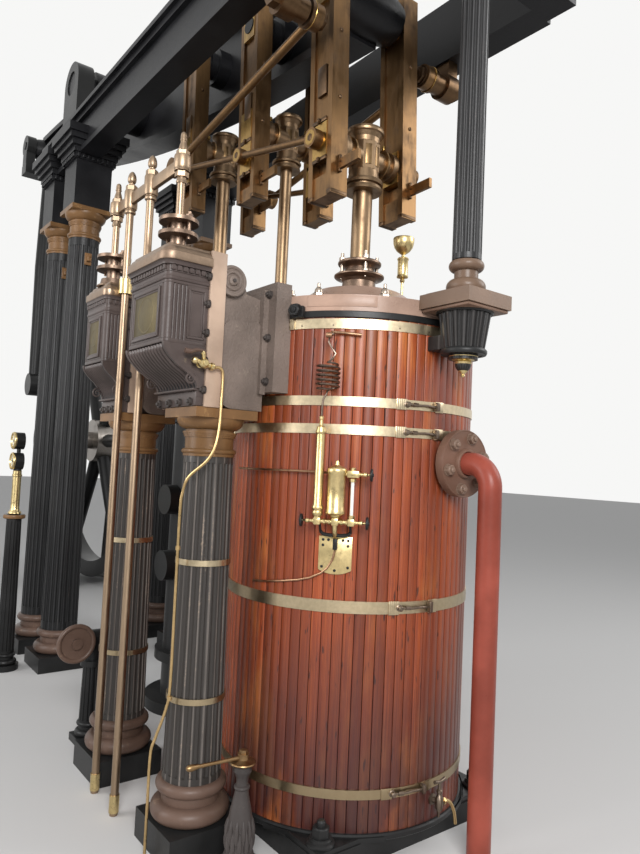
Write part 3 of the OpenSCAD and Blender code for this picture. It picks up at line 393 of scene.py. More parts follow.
@dataclass(frozen=True)
class Boards(Finish):
    """Varnished red-brown boards round a cylinder, each with its own tone and grain."""

    centre: Point = (0.0, 0.0, 0.0)
    count: int = 80
    start: float = 0.0
    dark: Colour = (0.03, 0.009, 0.006)
    warm: Colour = (0.21, 0.034, 0.012)
    bright: Colour = (0.42, 0.092, 0.022)
    # Colour of the painted highlight streaks.
    sheen_amber: Colour = (0.6, 0.205, 0.05)

    def build(self, tree: ShaderTree) -> bpy.types.Material:
        """Build boards by angle round the axis: grain up each board, painted sheen, painted shade low down.
        """
        at = tree.coords(self.centre)
        x, y, z = tree.split(at)
        angle = tree.node("ShaderNodeMath", {"operation": "ARCTAN2"}, {0: y, 1: x})
        turns = (angle / (2 * pi)) * self.count + (self.count * 2 - self.start)
        board = turns.floor()
        across = turns.fract()
        tone = tree.node("ShaderNodeTexWhiteNoise", {"noise_dimensions": "1D"}, {"W": board * 1.37 + 3.1},
                         "Value")
        shift = tree.node("ShaderNodeCombineXYZ", {},
                          {"X": across * 0.7 + board * 5.3, "Y": board * 2.9, "Z": z * 0.9})
        wide, fine = ((5.0, 1.0, 0.55), (30.0, 1.0, 1.4))
        grain = tree.noise(tree.node("ShaderNodeMapping", {}, {"Vector": shift, "Scale": wide}), 5.5, 7.0,
                           0.62)
        fibre = tree.noise(tree.node("ShaderNodeMapping", {}, {"Vector": shift, "Scale": fine}), 7.0, 5.0,
                           0.7)
        stain = tree.noise(tree.coords(self.centre, (1.0, 1.0, 0.42)), 3.4, 5.0, 0.6)
        knots = tree.noise(tree.node("ShaderNodeMapping", {},
                                     {"Vector": shift, "Scale": (1.6, 1.0, 4.5)}), 2.6, 2.0, 0.5)
        # Painted highlight: tall amber sheen streaks, drawn only where the grain is light.
        painted_sheen = tree.noise(tree.coords(self.centre, (1.0, 1.0, 0.3)), 5.2, 4.0, 0.55)
        body = tree.mix(grain.ramp(0.34, 0.66), self.warm, self.bright)
        body = tree.mix(painted_sheen.ramp(0.5, 0.68) * grain.ramp(0.25, 0.6) * 0.75, body, self.sheen_amber)
        body = tree.mix(tone * 0.62, body, tuple(c * 0.42 for c in self.warm))
        purple = stain.ramp(0.42, 0.62) * z.ramp(0.9, 2.1)
        body = tree.mix(purple * 0.45, body, (0.115, 0.048, 0.045))
        body = tree.mix(fibre.ramp(0.54, 0.68) * 0.72, body, self.dark)
        body = tree.mix(knots.ramp(0.66, 0.72) * 0.85, body, self.dark)
        body = tree.mix(stain.ramp(0.52, 0.78) * 0.6, body, tuple(c * 1.6 for c in self.dark))
        seam = (across - 0.5) * 2.0
        edge = (seam * seam).ramp(0.885, 0.965)
        body = tree.mix(edge * 0.88, body, (0.01, 0.004, 0.003))
        # Painted shade: the boards get darker towards the bottom, broken up by the stain noise.
        low = (z * -1.0).ramp(-1.25, -0.1) * stain.ramp(0.32, 0.54)
        body = tree.mix(low * 0.86, body, (0.03, 0.012, 0.014))
        rough = grain * 0.14 + stain * 0.16 + 0.17
        height = fibre * 0.25 + grain * 0.2
        return tree.surface(
            Base_Color=body, Roughness=rough + 0.08, IOR=1.4, Coat_Weight=0.22, Coat_Roughness=0.25,
            Normal=tree.bump(height, 0.0014, 0.6)
        )


@dataclass(frozen=True)
class Glass(Finish):
    """Milky sight glass of a lubricator."""

    colour: Colour = (0.8, 0.8, 0.76)

    def build(self, tree: ShaderTree) -> bpy.types.Material:
        """Build a bright, smooth and slightly cloudy surface."""
        cloud = tree.noise(tree.coords(scale=(1.0, 1.0, 0.2)), 30.0, 3.0)
        colour = tree.mix(cloud.ramp(0.4, 0.8) * 0.5, self.colour, (0.52, 0.53, 0.5))
        return tree.surface(Base_Color=colour, Roughness=0.08, IOR=1.45, Coat_Weight=0.6)


class Shade(Enum):
    """The named finishes of this engine."""

    BLACK = PaintedIron("black_paint", (0.009, 0.009, 0.009), (0.07, 0.05, 0.035), 0.25, 0.34)
    GIRDER = PaintedIron("girder_paint", (0.006, 0.006, 0.007), (0.045, 0.032, 0.022), 0.15, 0.38)
    COLUMNS = FlutedPaint("column_paint", (0.02, 0.02, 0.021), (0.13, 0.1, 0.08), 0.4, 0.36, 1.0,
                          (-3.2472, -0.535), (0.56, 1.07), 24)
    PEDESTALS = FlutedPaint("pedestal_paint", (0.104, 0.091, 0.082), (0.38, 0.29, 0.22), 0.6, 0.36, 1.0,
                            (-0.8, -0.79), (0.745, 0.0), 24)
    END_COLUMN = FlutedPaint("end_column_paint", (0.05, 0.049, 0.05), (0.24, 0.19, 0.16), 0.45, 0.34, 1.0,
                             (0.7, 0.0), (0.0, 0.0), 16, 2.32, 2.475)
    CONSOLE = FlutedPaint("console_paint", (0.034, 0.031, 0.03), (0.2, 0.14, 0.1), 0.45, 0.36, 1.0,
                          (0.7, 0.0), (0.0, 0.0), 18, 2.266, 2.4)
    WORN_BROWN = PaintedIron("worn_brown_paint", (0.075, 0.046, 0.034), (0.25, 0.165, 0.115), 0.75, 0.34)
    CAPITAL = PaintedIron("bronze_paint", (0.135, 0.07, 0.028), (0.4, 0.235, 0.1), 0.75, 0.32)
    CHEST = PaintedIron("chest_paint", (0.056, 0.042, 0.038), (0.22, 0.155, 0.12), 0.55, 0.34, 1.4)
    CAP = WarmMetal("cap_metal", (0.34, 0.245, 0.175), (0.15, 0.095, 0.065), 0.55, 0.36)
    CASING = PaintedIron("casing_paint", (0.12, 0.093, 0.078), (0.33, 0.265, 0.215), 0.62, 0.42, 9.0)
    FLANGE = PaintedIron("flange_paint", (0.105, 0.056, 0.038), (0.26, 0.17, 0.11), 0.6, 0.42)
    PIPE = PaintedIron("pipe_paint", (0.185, 0.038, 0.024), (0.13, 0.045, 0.03), 0.5, 0.32, 0.6)
    COVER = PaintedIron("cover_paint", (0.28, 0.185, 0.14), (0.46, 0.33, 0.25), 0.6, 0.3)
    BRASS = WarmMetal("polished_brass", (0.72, 0.565, 0.28), (0.3, 0.2, 0.085), 0.45, 0.29)
    BAND = WarmMetal("band_brass", (0.7, 0.58, 0.39), (0.3, 0.225, 0.13), 0.4, 0.32, darker_below=1.7)
    GLAND = WarmMetal("gland_metal", (0.24, 0.165, 0.12), (0.07, 0.045, 0.03), 0.6, 0.34)
    NUT = WarmMetal("bright_nut", (0.46, 0.38, 0.31), (0.18, 0.12, 0.09), 0.45, 0.32)
    LINK = WarmMetal("oiled_iron", (0.235, 0.134, 0.06), (0.06, 0.034, 0.017), 0.65, 0.36, (1.0, 1.0, 0.12))
    LINK_BRASS = WarmMetal("oiled_brass", (0.46, 0.29, 0.095), (0.13, 0.07, 0.025), 0.5, 0.3)
    ROD = WarmMetal("oiled_rod", (0.29, 0.195, 0.115), (0.12, 0.07, 0.035), 0.5, 0.38, (1.0, 1.0, 0.08))
    STEEL = WarmMetal("bare_steel", (0.34, 0.31, 0.28), (0.12, 0.09, 0.07), 0.5, 0.34)
    WORN_STEEL = WarmMetal("worn_steel", (0.22, 0.17, 0.13), (0.07, 0.05, 0.035), 0.6, 0.36)
    COIL = WarmMetal("coil_steel", (0.2, 0.15, 0.12), (0.07, 0.045, 0.03), 0.5, 0.28)
    COPPER = WarmMetal("copper_pipe", (0.42, 0.25, 0.15), (0.14, 0.07, 0.04), 0.5, 0.3)
    GLASS = Glass("sight_glass")
    OLIVE = WarmMetal("olive_plate", (0.15, 0.12, 0.062), (0.085, 0.066, 0.038), 0.7, 0.44)
    STRIP = PaintedIron("strip_paint", (0.3, 0.215, 0.16), (0.46, 0.35, 0.26), 0.7, 0.36)
    DARK_NUT = PaintedIron("dark_nuts", (0.04, 0.033, 0.03), (0.18, 0.13, 0.1), 0.6, 0.34)
    LINK_DARK = WarmMetal("dark_fastenings", (0.13, 0.08, 0.045), (0.045, 0.028, 0.018), 0.5, 0.36)
    CROSSHEAD = WarmMetal("crosshead_metal", (0.3, 0.19, 0.092), (0.1, 0.06, 0.028), 0.5, 0.34)
    BOLLARD = PaintedIron("stand_paint", (0.038, 0.032, 0.03), (0.2, 0.155, 0.13), 0.6, 0.32)
    PIVOT = WarmMetal("pivot_metal", (0.16, 0.095, 0.05), (0.05, 0.03, 0.02), 0.55, 0.36)
    FLANGE_NUT = PaintedIron("flange_nuts", (0.13, 0.085, 0.062), (0.25, 0.17, 0.12), 0.5, 0.42)
    PLINTH = PaintedIron("plinth_paint", (0.12, 0.072, 0.05), (0.24, 0.155, 0.11), 0.6, 0.36)
    DIAL = PaintedIron("dial_face", (0.62, 0.58, 0.48), (0.45, 0.38, 0.28), 0.2, 0.4)
    BRASS_PIPE = WarmMetal("brass_pipe", (0.6, 0.42, 0.2), (0.26, 0.15, 0.07), 0.45, 0.3)
    VALVE_ROD = WarmMetal("valve_rod_metal", (0.38, 0.275, 0.185), (0.15, 0.095, 0.058), 0.5, 0.38,
                          (1.0, 1.0, 0.08))
    BOARDS_LOW = Boards("boards_low_pressure", (0.0, 0.0, 0.0), 80, 0.0)
    BOARDS_HIGH = Boards("boards_high_pressure", (-0.7121, 0.0, 0.0), 54, 0.0)

    def material(self) -> bpy.types.Material:
        """Return the finish's material."""
        return self.value.material()


SHADE_NODES: dict[Shade, tuple[str, ...]] = {
    Shade.BLACK: ("bed_plate", "pedestal_plinths", "column_plinths", "trunnion_bearings",
        "shaft_pedestals", "pump_barrel", "lever_stand", "wheel_stand", "gauge_stand",
        "connecting_rod", "crank", "flywheel_rim", "flywheel_spokes"),
    Shade.BOARDS_LOW: ("cylinder_lagging",),
    Shade.BAND: ("lagging_bands", "pedestal_bands"),
    Shade.COVER: ("cylinder_covers",),
    Shade.GLAND: ("cylinder_glands", "chest_glands"),
    Shade.CHEST: ("low_valve_chest", "high_valve_chest"),
    Shade.CAP: ("chest_caps",),
    Shade.CASING: ("steam_passages", "port_flanges"),
    Shade.WORN_BROWN: ("pedestal_bases", "column_bases", "stand_wheel"),
    Shade.PEDESTALS: ("pedestal_shafts",),
    Shade.CAPITAL: ("pedestal_capitals", "column_capitals"),
    Shade.COLUMNS: ("column_shafts",),
    Shade.GIRDER: ("side_girders", "end_girder", "beam"),
    Shade.END_COLUMN: ("end_column",),
    Shade.CONSOLE: ("end_console",),
    Shade.PIVOT: ("pivot_brackets",),
    Shade.FLANGE: ("side_flange",),
    Shade.PIPE: ("side_pipe",),
    Shade.BRASS: ("lubricator", "oil_pipes", "rod_guides", "cover_oilers"),
    Shade.STEEL: ("oil_coil", "crankshaft", "start_lever"),
    Shade.LINK: ("low_links", "high_links", "pump_links", "radius_rods", "parallel_bars"),
    Shade.LINK_BRASS: ("link_brasses_low", "link_brasses_high", "link_brasses_pump"),
    Shade.ROD: ("low_piston_rod", "high_piston_rod", "pump_rod", "valve_rods", "valve_yoke"),
}
NODE_SHADES: dict[str, Shade] = {name: shade for shade, names in SHADE_NODES.items() for name in names}


@dataclass
class NodeFinisher:
    """Gives every CAD node its finish."""

    shades: dict[str, Shade] = field(default_factory=lambda: dict(NODE_SHADES))

    def dress(self) -> None:
        """Assign each node's material to all of its slots."""
        for name, shade in self.shades.items():
            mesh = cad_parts[name].data
            if not mesh.materials:
                mesh.materials.append(None)
            for slot in range(len(mesh.materials)):
                mesh.materials[slot] = shade.material()
        LOG.info("finished %d nodes", len(self.shades))


@dataclass
class Studio:
    """Camera at the photograph's angle, pale floor and soft light."""

    eye: Point = (2.5947, -2.1908, 1.6)
    azimuth: float = 52.566
    pitch: float = 3.016
    roll: float = 2.644
    focal_px: float = 680.0
    frame_px: tuple[int, int] = (640, 854)

    def camera(self) -> None:
        """Place the camera so that its picture has the photograph's view."""
        a, p, r = (radians(v) for v in (self.azimuth, self.pitch, self.roll))
        forward = Vector((-sin(a) * cos(p), cos(a) * cos(p), sin(p)))
        right = Vector((cos(a), sin(a), 0.0))
        up = right.cross(forward)
        right_r = right * cos(r) + up * sin(r)
        up_r = up * cos(r) - right * sin(r)
        data = bpy.data.cameras.new("camera")
        data.sensor_fit = "VERTICAL"
        data.sensor_height = 24.0
        data.lens = self.focal_px / self.frame_px[1] * data.sensor_height
        data.clip_end = 200.0
        camera = bpy.data.objects.new("camera", data)
        turn = Matrix((right_r, up_r, -forward)).transposed()
        camera.matrix_world = Matrix.Translation(self.eye) @ turn.to_4x4()
        bpy.context.scene.collection.objects.link(camera)
        bpy.context.scene.camera = camera

    def floor(self) -> None:
        """Lay the wide, flat, pale floor."""
        mesh = bpy.data.meshes.new("floor")
        shape = bmesh.new()
        bmesh.ops.create_grid(shape, x_segments=1, y_segments=1, size=40.0)
        shape.to_mesh(mesh)
        shape.free()
        floor = bpy.data.objects.new("floor", mesh)
        bpy.context.scene.collection.objects.link(floor)
        tree = ShaderTree("pale_floor")
        mesh.materials.append(tree.surface(Base_Color=(0.62, 0.61, 0.6), Roughness=0.8))

    def lamp(self, name: str, place: Point, target: Point, size: float, power: float) -> None:
        """Add one soft square lamp.

        Args:
            name: the lamp's name.
            place: where it hangs.
            target: the point that it faces.
            size: its side.
            power: its power in watts.
        """
        data = bpy.data.lights.new(name, "AREA")
        data.shape = "SQUARE"
        data.size = size
        data.energy = power
        lamp = bpy.data.objects.new(name, data)
        direction = Vector(target) - Vector(place)
        lamp.matrix_world = Matrix.Translation(place) @ direction.to_track_quat("-Z",
                                                                                "Y").to_matrix().to_4x4()
        bpy.context.scene.collection.objects.link(lamp)

    def light(self) -> None:
        """Light from high right, a wide fill and a pale world."""
        self.lamp("window", (6.2, -4.0, 4.4), (0.0, 0.0, 2.0), 3.0, 560.0)
        self.lamp("fill", (-2.5, -7.0, 3.4), (-0.4, 0.0, 1.6), 4.0, 230.0)
        self.lamp("back", (4.0, 6.0, 6.0), (0.0, 0.0, 2.0), 4.0, 240.0)
        world = bpy.data.worlds.new("pale_world")
        world.use_nodes = True
        nodes, links = world.node_tree.nodes, world.node_tree.links
        nodes.clear()
        kinds = ("Background", "Background", "LightPath", "MixShader", "OutputWorld", "Math", "Math")
        soft, seen, path, mixed, out, straight, any_view = (nodes.new("ShaderNode" + k) for k in kinds)
        soft.inputs["Color"].default_value = (0.86, 0.88, 0.9, 1.0)
        soft.inputs["Strength"].default_value = 0.42
        seen.inputs["Color"].default_value = (0.93, 0.93, 0.92, 1.0)
        straight.operation = any_view.operation = "MAXIMUM"
        for source, target in (
            (path.outputs["Is Camera Ray"], straight.inputs[0]),
            (path.outputs["Is Glossy Ray"], straight.inputs[1]),
            (straight.outputs[0], any_view.inputs[0]),
            (path.outputs["Is Transmission Ray"], any_view.inputs[1]),
            (any_view.outputs[0], mixed.inputs[0]),
            (soft.outputs[0], mixed.inputs[1]),
            (seen.outputs[0], mixed.inputs[2]),
            (mixed.outputs[0], out.inputs[0]),
        ):
            links.new(source, target)
        bpy.context.scene.world = world
        bpy.context.scene.view_settings.view_transform = "Standard"

    def build(self) -> None:
        """Build the whole studio."""
        self.camera()
        self.floor()
        self.light()


# Piece building blocks


def mm(*pairs: tuple[float, float]) -> list[tuple[float, float]]:
    """Return pairs given in millimetres as pairs in metres."""
    return [(a / 1000, b / 1000) for a, b in pairs]


def raised(at: Matrix, height: float) -> Matrix:
    """Return a place moved up along its own Z."""
    return at @ Matrix.Translation((0.0, 0.0, height))


def placed(origin: Point, axis: Point = UP, side: Point = OUTWARD) -> Matrix:
    """Return the matrix that lays local Z on axis and local X towards side.

    Args:
        origin: where local zero goes.
        axis: the direction of local Z.
        side: the direction that local X leans to.

    Returns:
        The placing matrix.
    """
    up = Vector(axis).normalized()
    across = Vector(side) - up * Vector(side).dot(up)
    if across.length < 1e-6:
        across = up.orthogonal()
    across.normalize()
    turn = Matrix((across, up.cross(across), up)).transposed()
    return Matrix.Translation(origin) @ turn.to_4x4()


def on_wall(angle: float, z: float, radius: float, centre_x: float = 0.0) -> Matrix:
    """Return a place on an upright round wall: local X to the right, Y up and Z outwards.

    Args:
        angle: the place round the wall, in degrees.
        z: its height.
        radius: the wall's radius.
        centre_x: where the wall's axis stands on X.

    Returns:
        The placing matrix.
    """
    a = radians(angle)
    out = (cos(a), sin(a), 0.0)
    return placed((centre_x + radius * out[0], radius * out[1], z), out, (-out[1], out[0], 0.0))


def regular(sides: int, radius: float, start: float = 0.0) -> list[tuple[float, float]]:
    """Return a regular outline of so many sides."""
    turns = [radians(start) + 2 * pi * i / sides for i in range(sides)]
    return [(radius * cos(t), radius * sin(t)) for t in turns]


class Shaper:
    """One piece under construction, put together from forms made by bmesh operators."""

    def __init__(self, name: str, shade: Shade) -> None:
        """Start an empty piece.

        Args:
            name: the piece's name.
            shade: its finish.
        """
        self.name = name
        self.shade = shade
        self.mesh = bmesh.new()

    def _take(self, form: bmesh.types.BMesh, at: Matrix, bevel: float = 0.0, segments: int = 2) -> None:
        """Round a form's edges if asked, lay it in its place and add it to the piece."""
        bmesh.ops.remove_doubles(form, verts=form.verts, dist=1e-6)
        bmesh.ops.recalc_face_normals(form, faces=form.faces)
        if bevel > 0.0:
            edges = [e for e in form.edges if len(e.link_faces) == 2 and e.calc_face_angle() > 0.5]
            bmesh.ops.bevel(
                form, geom=edges, offset=bevel, offset_type="OFFSET", segments=segments,
                profile=0.5, affect="EDGES", material=-1, clamp_overlap=True,
            )
        bmesh.ops.transform(form, matrix=at, verts=form.verts)
        bmesh.ops.recalc_face_normals(form, faces=form.faces)
        kept = bpy.data.meshes.new("form")
        form.to_mesh(kept)
        form.free()
        self.mesh.from_mesh(kept)
        bpy.data.meshes.remove(kept)

    def turned(
        self, profile: Sequence[tuple[float, float]], at: Matrix, steps: int = 32, closed: bool = False
    ) -> "Shaper":
        """Add a turned form.

        Args:
            profile: pairs of radius and height. An open one starts and ends on the axis.
            at: where its axis and foot go.
            steps: the facets round it.
            closed: whether the profile closes on itself, as a ring's does.

        Returns:
            The same piece.
        """
        form = bmesh.new()
        verts = [form.verts.new((r, 0.0, z)) for r, z in profile]
        pairs = list(zip(verts, verts[1:])) + ([(verts[-1], verts[0])] if closed else [])
        edges = [form.edges.new(pair) for pair in pairs]
        bmesh.ops.spin(
            form, geom=verts + edges, cent=(0, 0, 0), axis=(0, 0, 1), angle=2 * pi,
            steps=steps, use_merge=True, use_duplicate=False,
        )
        self._take(form, at)
        return self

    def prism(
        self, outline: Sequence[tuple[float, float]], height: float, at: Matrix, bevel: float = 0.0,
        segments: int = 2,
    ) -> "Shaper":
        """Add an outline extruded along local Z, with its edges rounded.

        Args:
            outline: the corners in order.
            height: how far it is extruded.
            at: where it goes.
            bevel: the rounding's width.
            segments: the rounding's facets.

        Returns:
            The same piece.
        """
        form = bmesh.new()
        face = form.faces.new([form.verts.new((x, y, 0.0)) for x, y in outline])
        grown = bmesh.ops.extrude_face_region(form, geom=[face])["geom"]
        far = [v for v in grown if isinstance(v, bmesh.types.BMVert)]
        bmesh.ops.translate(form, verts=far, vec=(0.0, 0.0, height))
        self._take(form, at, bevel, segments)
        return self

    def loft(self, rings: Sequence[tuple[Sequence[tuple[float, float]], float]]) -> "Shaper":
        """Add a form that passes through level outlines of equally many corners.

        Args:
            rings: pairs of outline and height, from the foot up.

        Returns:
            The same piece.
        """
        form = bmesh.new()
        last: list[bmesh.types.BMVert] = []
        for outline, z in rings:
            ring = [form.verts.new((x, y, z)) for x, y in outline]
            edges = [form.edges.new((a, b)) for a, b in zip(ring, ring[1:] + ring[:1])]
            if last:
                for i, vert in enumerate(ring):
                    ahead = (i + 1) % len(ring)
                    form.faces.new((last[i], last[ahead], ring[ahead], vert))
            else:
                bmesh.ops.edgeloop_fill(form, edges=edges)
            last = ring
        loop = [form.edges.get((a, b)) for a, b in zip(last, last[1:] + last[:1])]
        bmesh.ops.edgeloop_fill(form, edges=loop)
        self._take(form, Matrix.Identity(4))
        return self

    def block(self, size: Point, at: Matrix, bevel: float = 0.002) -> "Shaper":
        """Add a block with rounded edges, centred on local X and Y and standing on local Z."""
        x, y = size[0] / 2, size[1] / 2
        return self.prism([(-x, -y), (x, -y), (x, y), (-x, y)], size[2], at, bevel)

    def tube(self, path: Sequence[Point], radius: Union[float, Sequence[float]],
             sides: int = 10) -> "Shaper":
        """Add a round bar along a path.

        Args:
            path: the points of its middle line.
            radius: one radius, or one for each point.
            sides: the facets round it.

        Returns:
            The same piece.
        """
        points = [Vector(p) for p in path]
        radii = [radius] * len(points) if isinstance(radius, (int, float)) else list(radius)
        form = bmesh.new()
        side = (points[1] - points[0]).orthogonal()
        last: list[bmesh.types.BMEdge] = []
        for i, point in enumerate(points):
            ahead = points[min(i + 1, len(points) - 1)] - points[max(i - 1, 0)]
            here = placed(tuple(point), tuple(ahead), tuple(side))
            side = here.col[0].to_3d()
            made = bmesh.ops.create_circle(form, segments=sides, radius=radii[i], matrix=here)
            ring = list({e for v in made["verts"] for e in v.link_edges})
            if last:
                bmesh.ops.bridge_loops(form, edges=last + ring)
            else:
                bmesh.ops.edgeloop_fill(form, edges=ring)
            last = [e for e in ring if e.is_valid]
        bmesh.ops.edgeloop_fill(form, edges=last)
        self._take(form, Matrix.Identity(4))
        return self

    def nut(self, radius: float, height: float, at: Matrix, sides: int = 6) -> "Shaper":
        """Add a nut with a chamfered top."""
        self.prism(regular(sides, radius), height * 0.86, at)
        crown = [(0.0, 0.0), (radius * 0.93, 0.0), (radius * 0.8, height * 0.14), (0.0, height * 0.14)]
        return self.turned(crown, raised(at, height * 0.86 - 0.0004), 18)

    def bolt(self, radius: float, height: float, at: Matrix, out: float = 0.5) -> "Shaper":
        """Add a nut on a washer with the bolt's domed end standing out of it.

        Args:
            radius: the nut's radius over its corners.
            height: the nut's height.
            at: its place on the surface.
            out: how far the end stands out, as a share of the height.

        Returns:
            The same piece.
        """
        washer = radius * 0.16
        self.turned([(0.0, 0.0), (radius * 1.15, 0.0), (radius * 1.15, washer), (0.0, washer)], at, 20)
        self.nut(radius, height, raised(at, washer))
        top = washer + height
        end = [(0.0, top - 0.001), (radius * 0.5, top - 0.001), (radius * 0.5, top + out * height * 0.7),
               (radius * 0.36, top + out * height), (0.0, top + out * height * 1.06)]
        return self.turned(end, at, 14)

    def done(self, body: str = "engine_frame", *nodes: str) -> bpy.types.Object:
        """Close the piece.

        Args:
            body: the CAD body that it rides on.
            *nodes: CAD nodes that it stands for.

        Returns:
            The finished object.
        """
        for face in self.mesh.faces:
            face.smooth = True
        for edge in self.mesh.edges:
            edge.smooth = len(edge.link_faces) == 2 and edge.calc_face_angle() < 0.62
        mesh = bpy.data.meshes.new(self.name)
        self.mesh.to_mesh(mesh)
        triangles = sum(len(f.verts) - 2 for f in self.mesh.faces)
        self.mesh.free()
        mesh.materials.append(self.shade.material())
        piece = bpy.data.objects.new(self.name, mesh)
        bpy.context.scene.collection.objects.link(piece)
        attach(piece, body)
        if nodes:
            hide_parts(*nodes)
        LOG.info("%s: %d triangles on %s", self.name, triangles, body)
        return piece


# Cylinders


@dataclass
class Lagging:
    """Upright boards round one cylinder, chamfered along their joints."""

    name: str = "lagging_boards_low"
    shade: Shade = Shade.BOARDS_LOW
    centre_x: float = 0.0
    radius: float = 0.575
    count: int = 80
    start: float = 0.0
    bottom: float = 0.09
    top: float = 2.215
    other: tuple[float, float] = (-0.7121, 0.4)

    def outline(self, proud: float) -> list[tuple[float, float]]:
        """Return one board's section, its outer face standing proud by so much."""
        half = pi / self.count
        chamfer = 0.0026 / self.radius
        polar = [
            (self.radius - 0.0075, -half), (self.radius + proud - 0.0016, -half + chamfer * 0.6),
            (self.radius + proud, -half + chamfer * 1.5), (self.radius + proud, 0.0),
            (self.radius + proud, half - chamfer * 1.5), (self.radius + proud - 0.0016,
                                                          half - chamfer * 0.6),
            (self.radius - 0.0075, half), (self.radius - 0.03, half), (self.radius - 0.03, -half),
        ]
        return [(r * cos(t), r * sin(t)) for r, t in polar]

    def build(self) -> None:
        """Stand every board that the other cylinder doesn't hide."""
        boards = Shaper(self.name, self.shade)
        for k in range(self.count):
            turn = 2 * pi * (k + self.start + 0.5) / self.count
            x = self.centre_x + self.radius * cos(turn)
            y = self.radius * sin(turn)
            if hypot(x - self.other[0], y) < self.other[1] - 0.03:
                continue
            at = Matrix.Translation((self.centre_x, 0.0, self.bottom)) @ Matrix.Rotation(turn, 4, "Z")
            boards.prism(self.outline(0.0009 * sin(k * 12.99)), self.top - self.bottom, at)
        boards.done("engine_frame", "cylinder_lagging")


@dataclass
class BandFittings:
    """Joint plates, eye bolts and screws of the brass bands."""

    radius: float = 0.58
    bands: tuple[tuple[float, float], ...] = ((0.25, 0.288), (0.991, 1.041), (1.723, 1.764), (1.841, 1.881))
    joint: float = -20.0
    top_band: float = 2.187

    def joint_of(self, brass: Shaper, iron: Shaper, low: float, high: float) -> None:
        """Add one band's joint: a lapped plate, an eye, the draw bolt and its lug."""
        middle = (low + high) / 2
        height = high - low + 0.006
        for i in range(5):
            at = on_wall(self.joint - 1.6 + i * 0.9, middle, self.radius)
            brass.block((0.011, height, 0.0036), at, 0.001)
        eye = on_wall(self.joint + 2.6, middle, self.radius)
        iron.turned(
            mm((0, 0), (14, 0), (14, 4), (10, 6), (11, 20), (7, 24), (0, 24.5)),
            eye, 20,
        )
        path = [
            tuple(on_wall(self.joint + 2.6 + i * 1.15, middle + 0.001 * sin(i),
                          self.radius + 0.013).translation)
            for i in range(14)
        ]
        iron.tube(path, 0.0052, 10)
        iron.tube(path[2:5], 0.0085, 6)
        lug = on_wall(self.joint + 17.0, middle, self.radius)
        iron.block((0.016, height * 0.8, 0.026), lug, 0.003)
        brass.block((0.05, height, 0.0032), on_wall(self.joint + 19.4, middle, self.radius - 0.0006), 0.001)

    def build(self) -> None:
        """Fit all the bands."""
        brass = Shaper("band_joint_plates", Shade.BAND)
        iron = Shaper("band_draw_bolts", Shade.WORN_STEEL)
        for low, high in self.bands:
            self.joint_of(brass, iron, low, high)
        for i in range(5):
            brass.block((0.011, 0.047, 0.0034), on_wall(-71.6 + i * 0.9, self.top_band, self.radius), 0.001)
        for dz in (-0.011, 0.011):
            screw = on_wall(-70.2, self.top_band + dz, self.radius + 0.003)
            iron.turned(mm((0, 0), (7, 0), (6, 3), (0, 4.5)), screw, 14)
        for angle in range(-64, 20, 14):
            screw = on_wall(angle, self.top_band - 0.008, self.radius)
            iron.turned(mm((0, 0), (3.5, 0), (3, 1.2), (0, 1.8)), screw, 10)
        brass.done()
        iron.done()


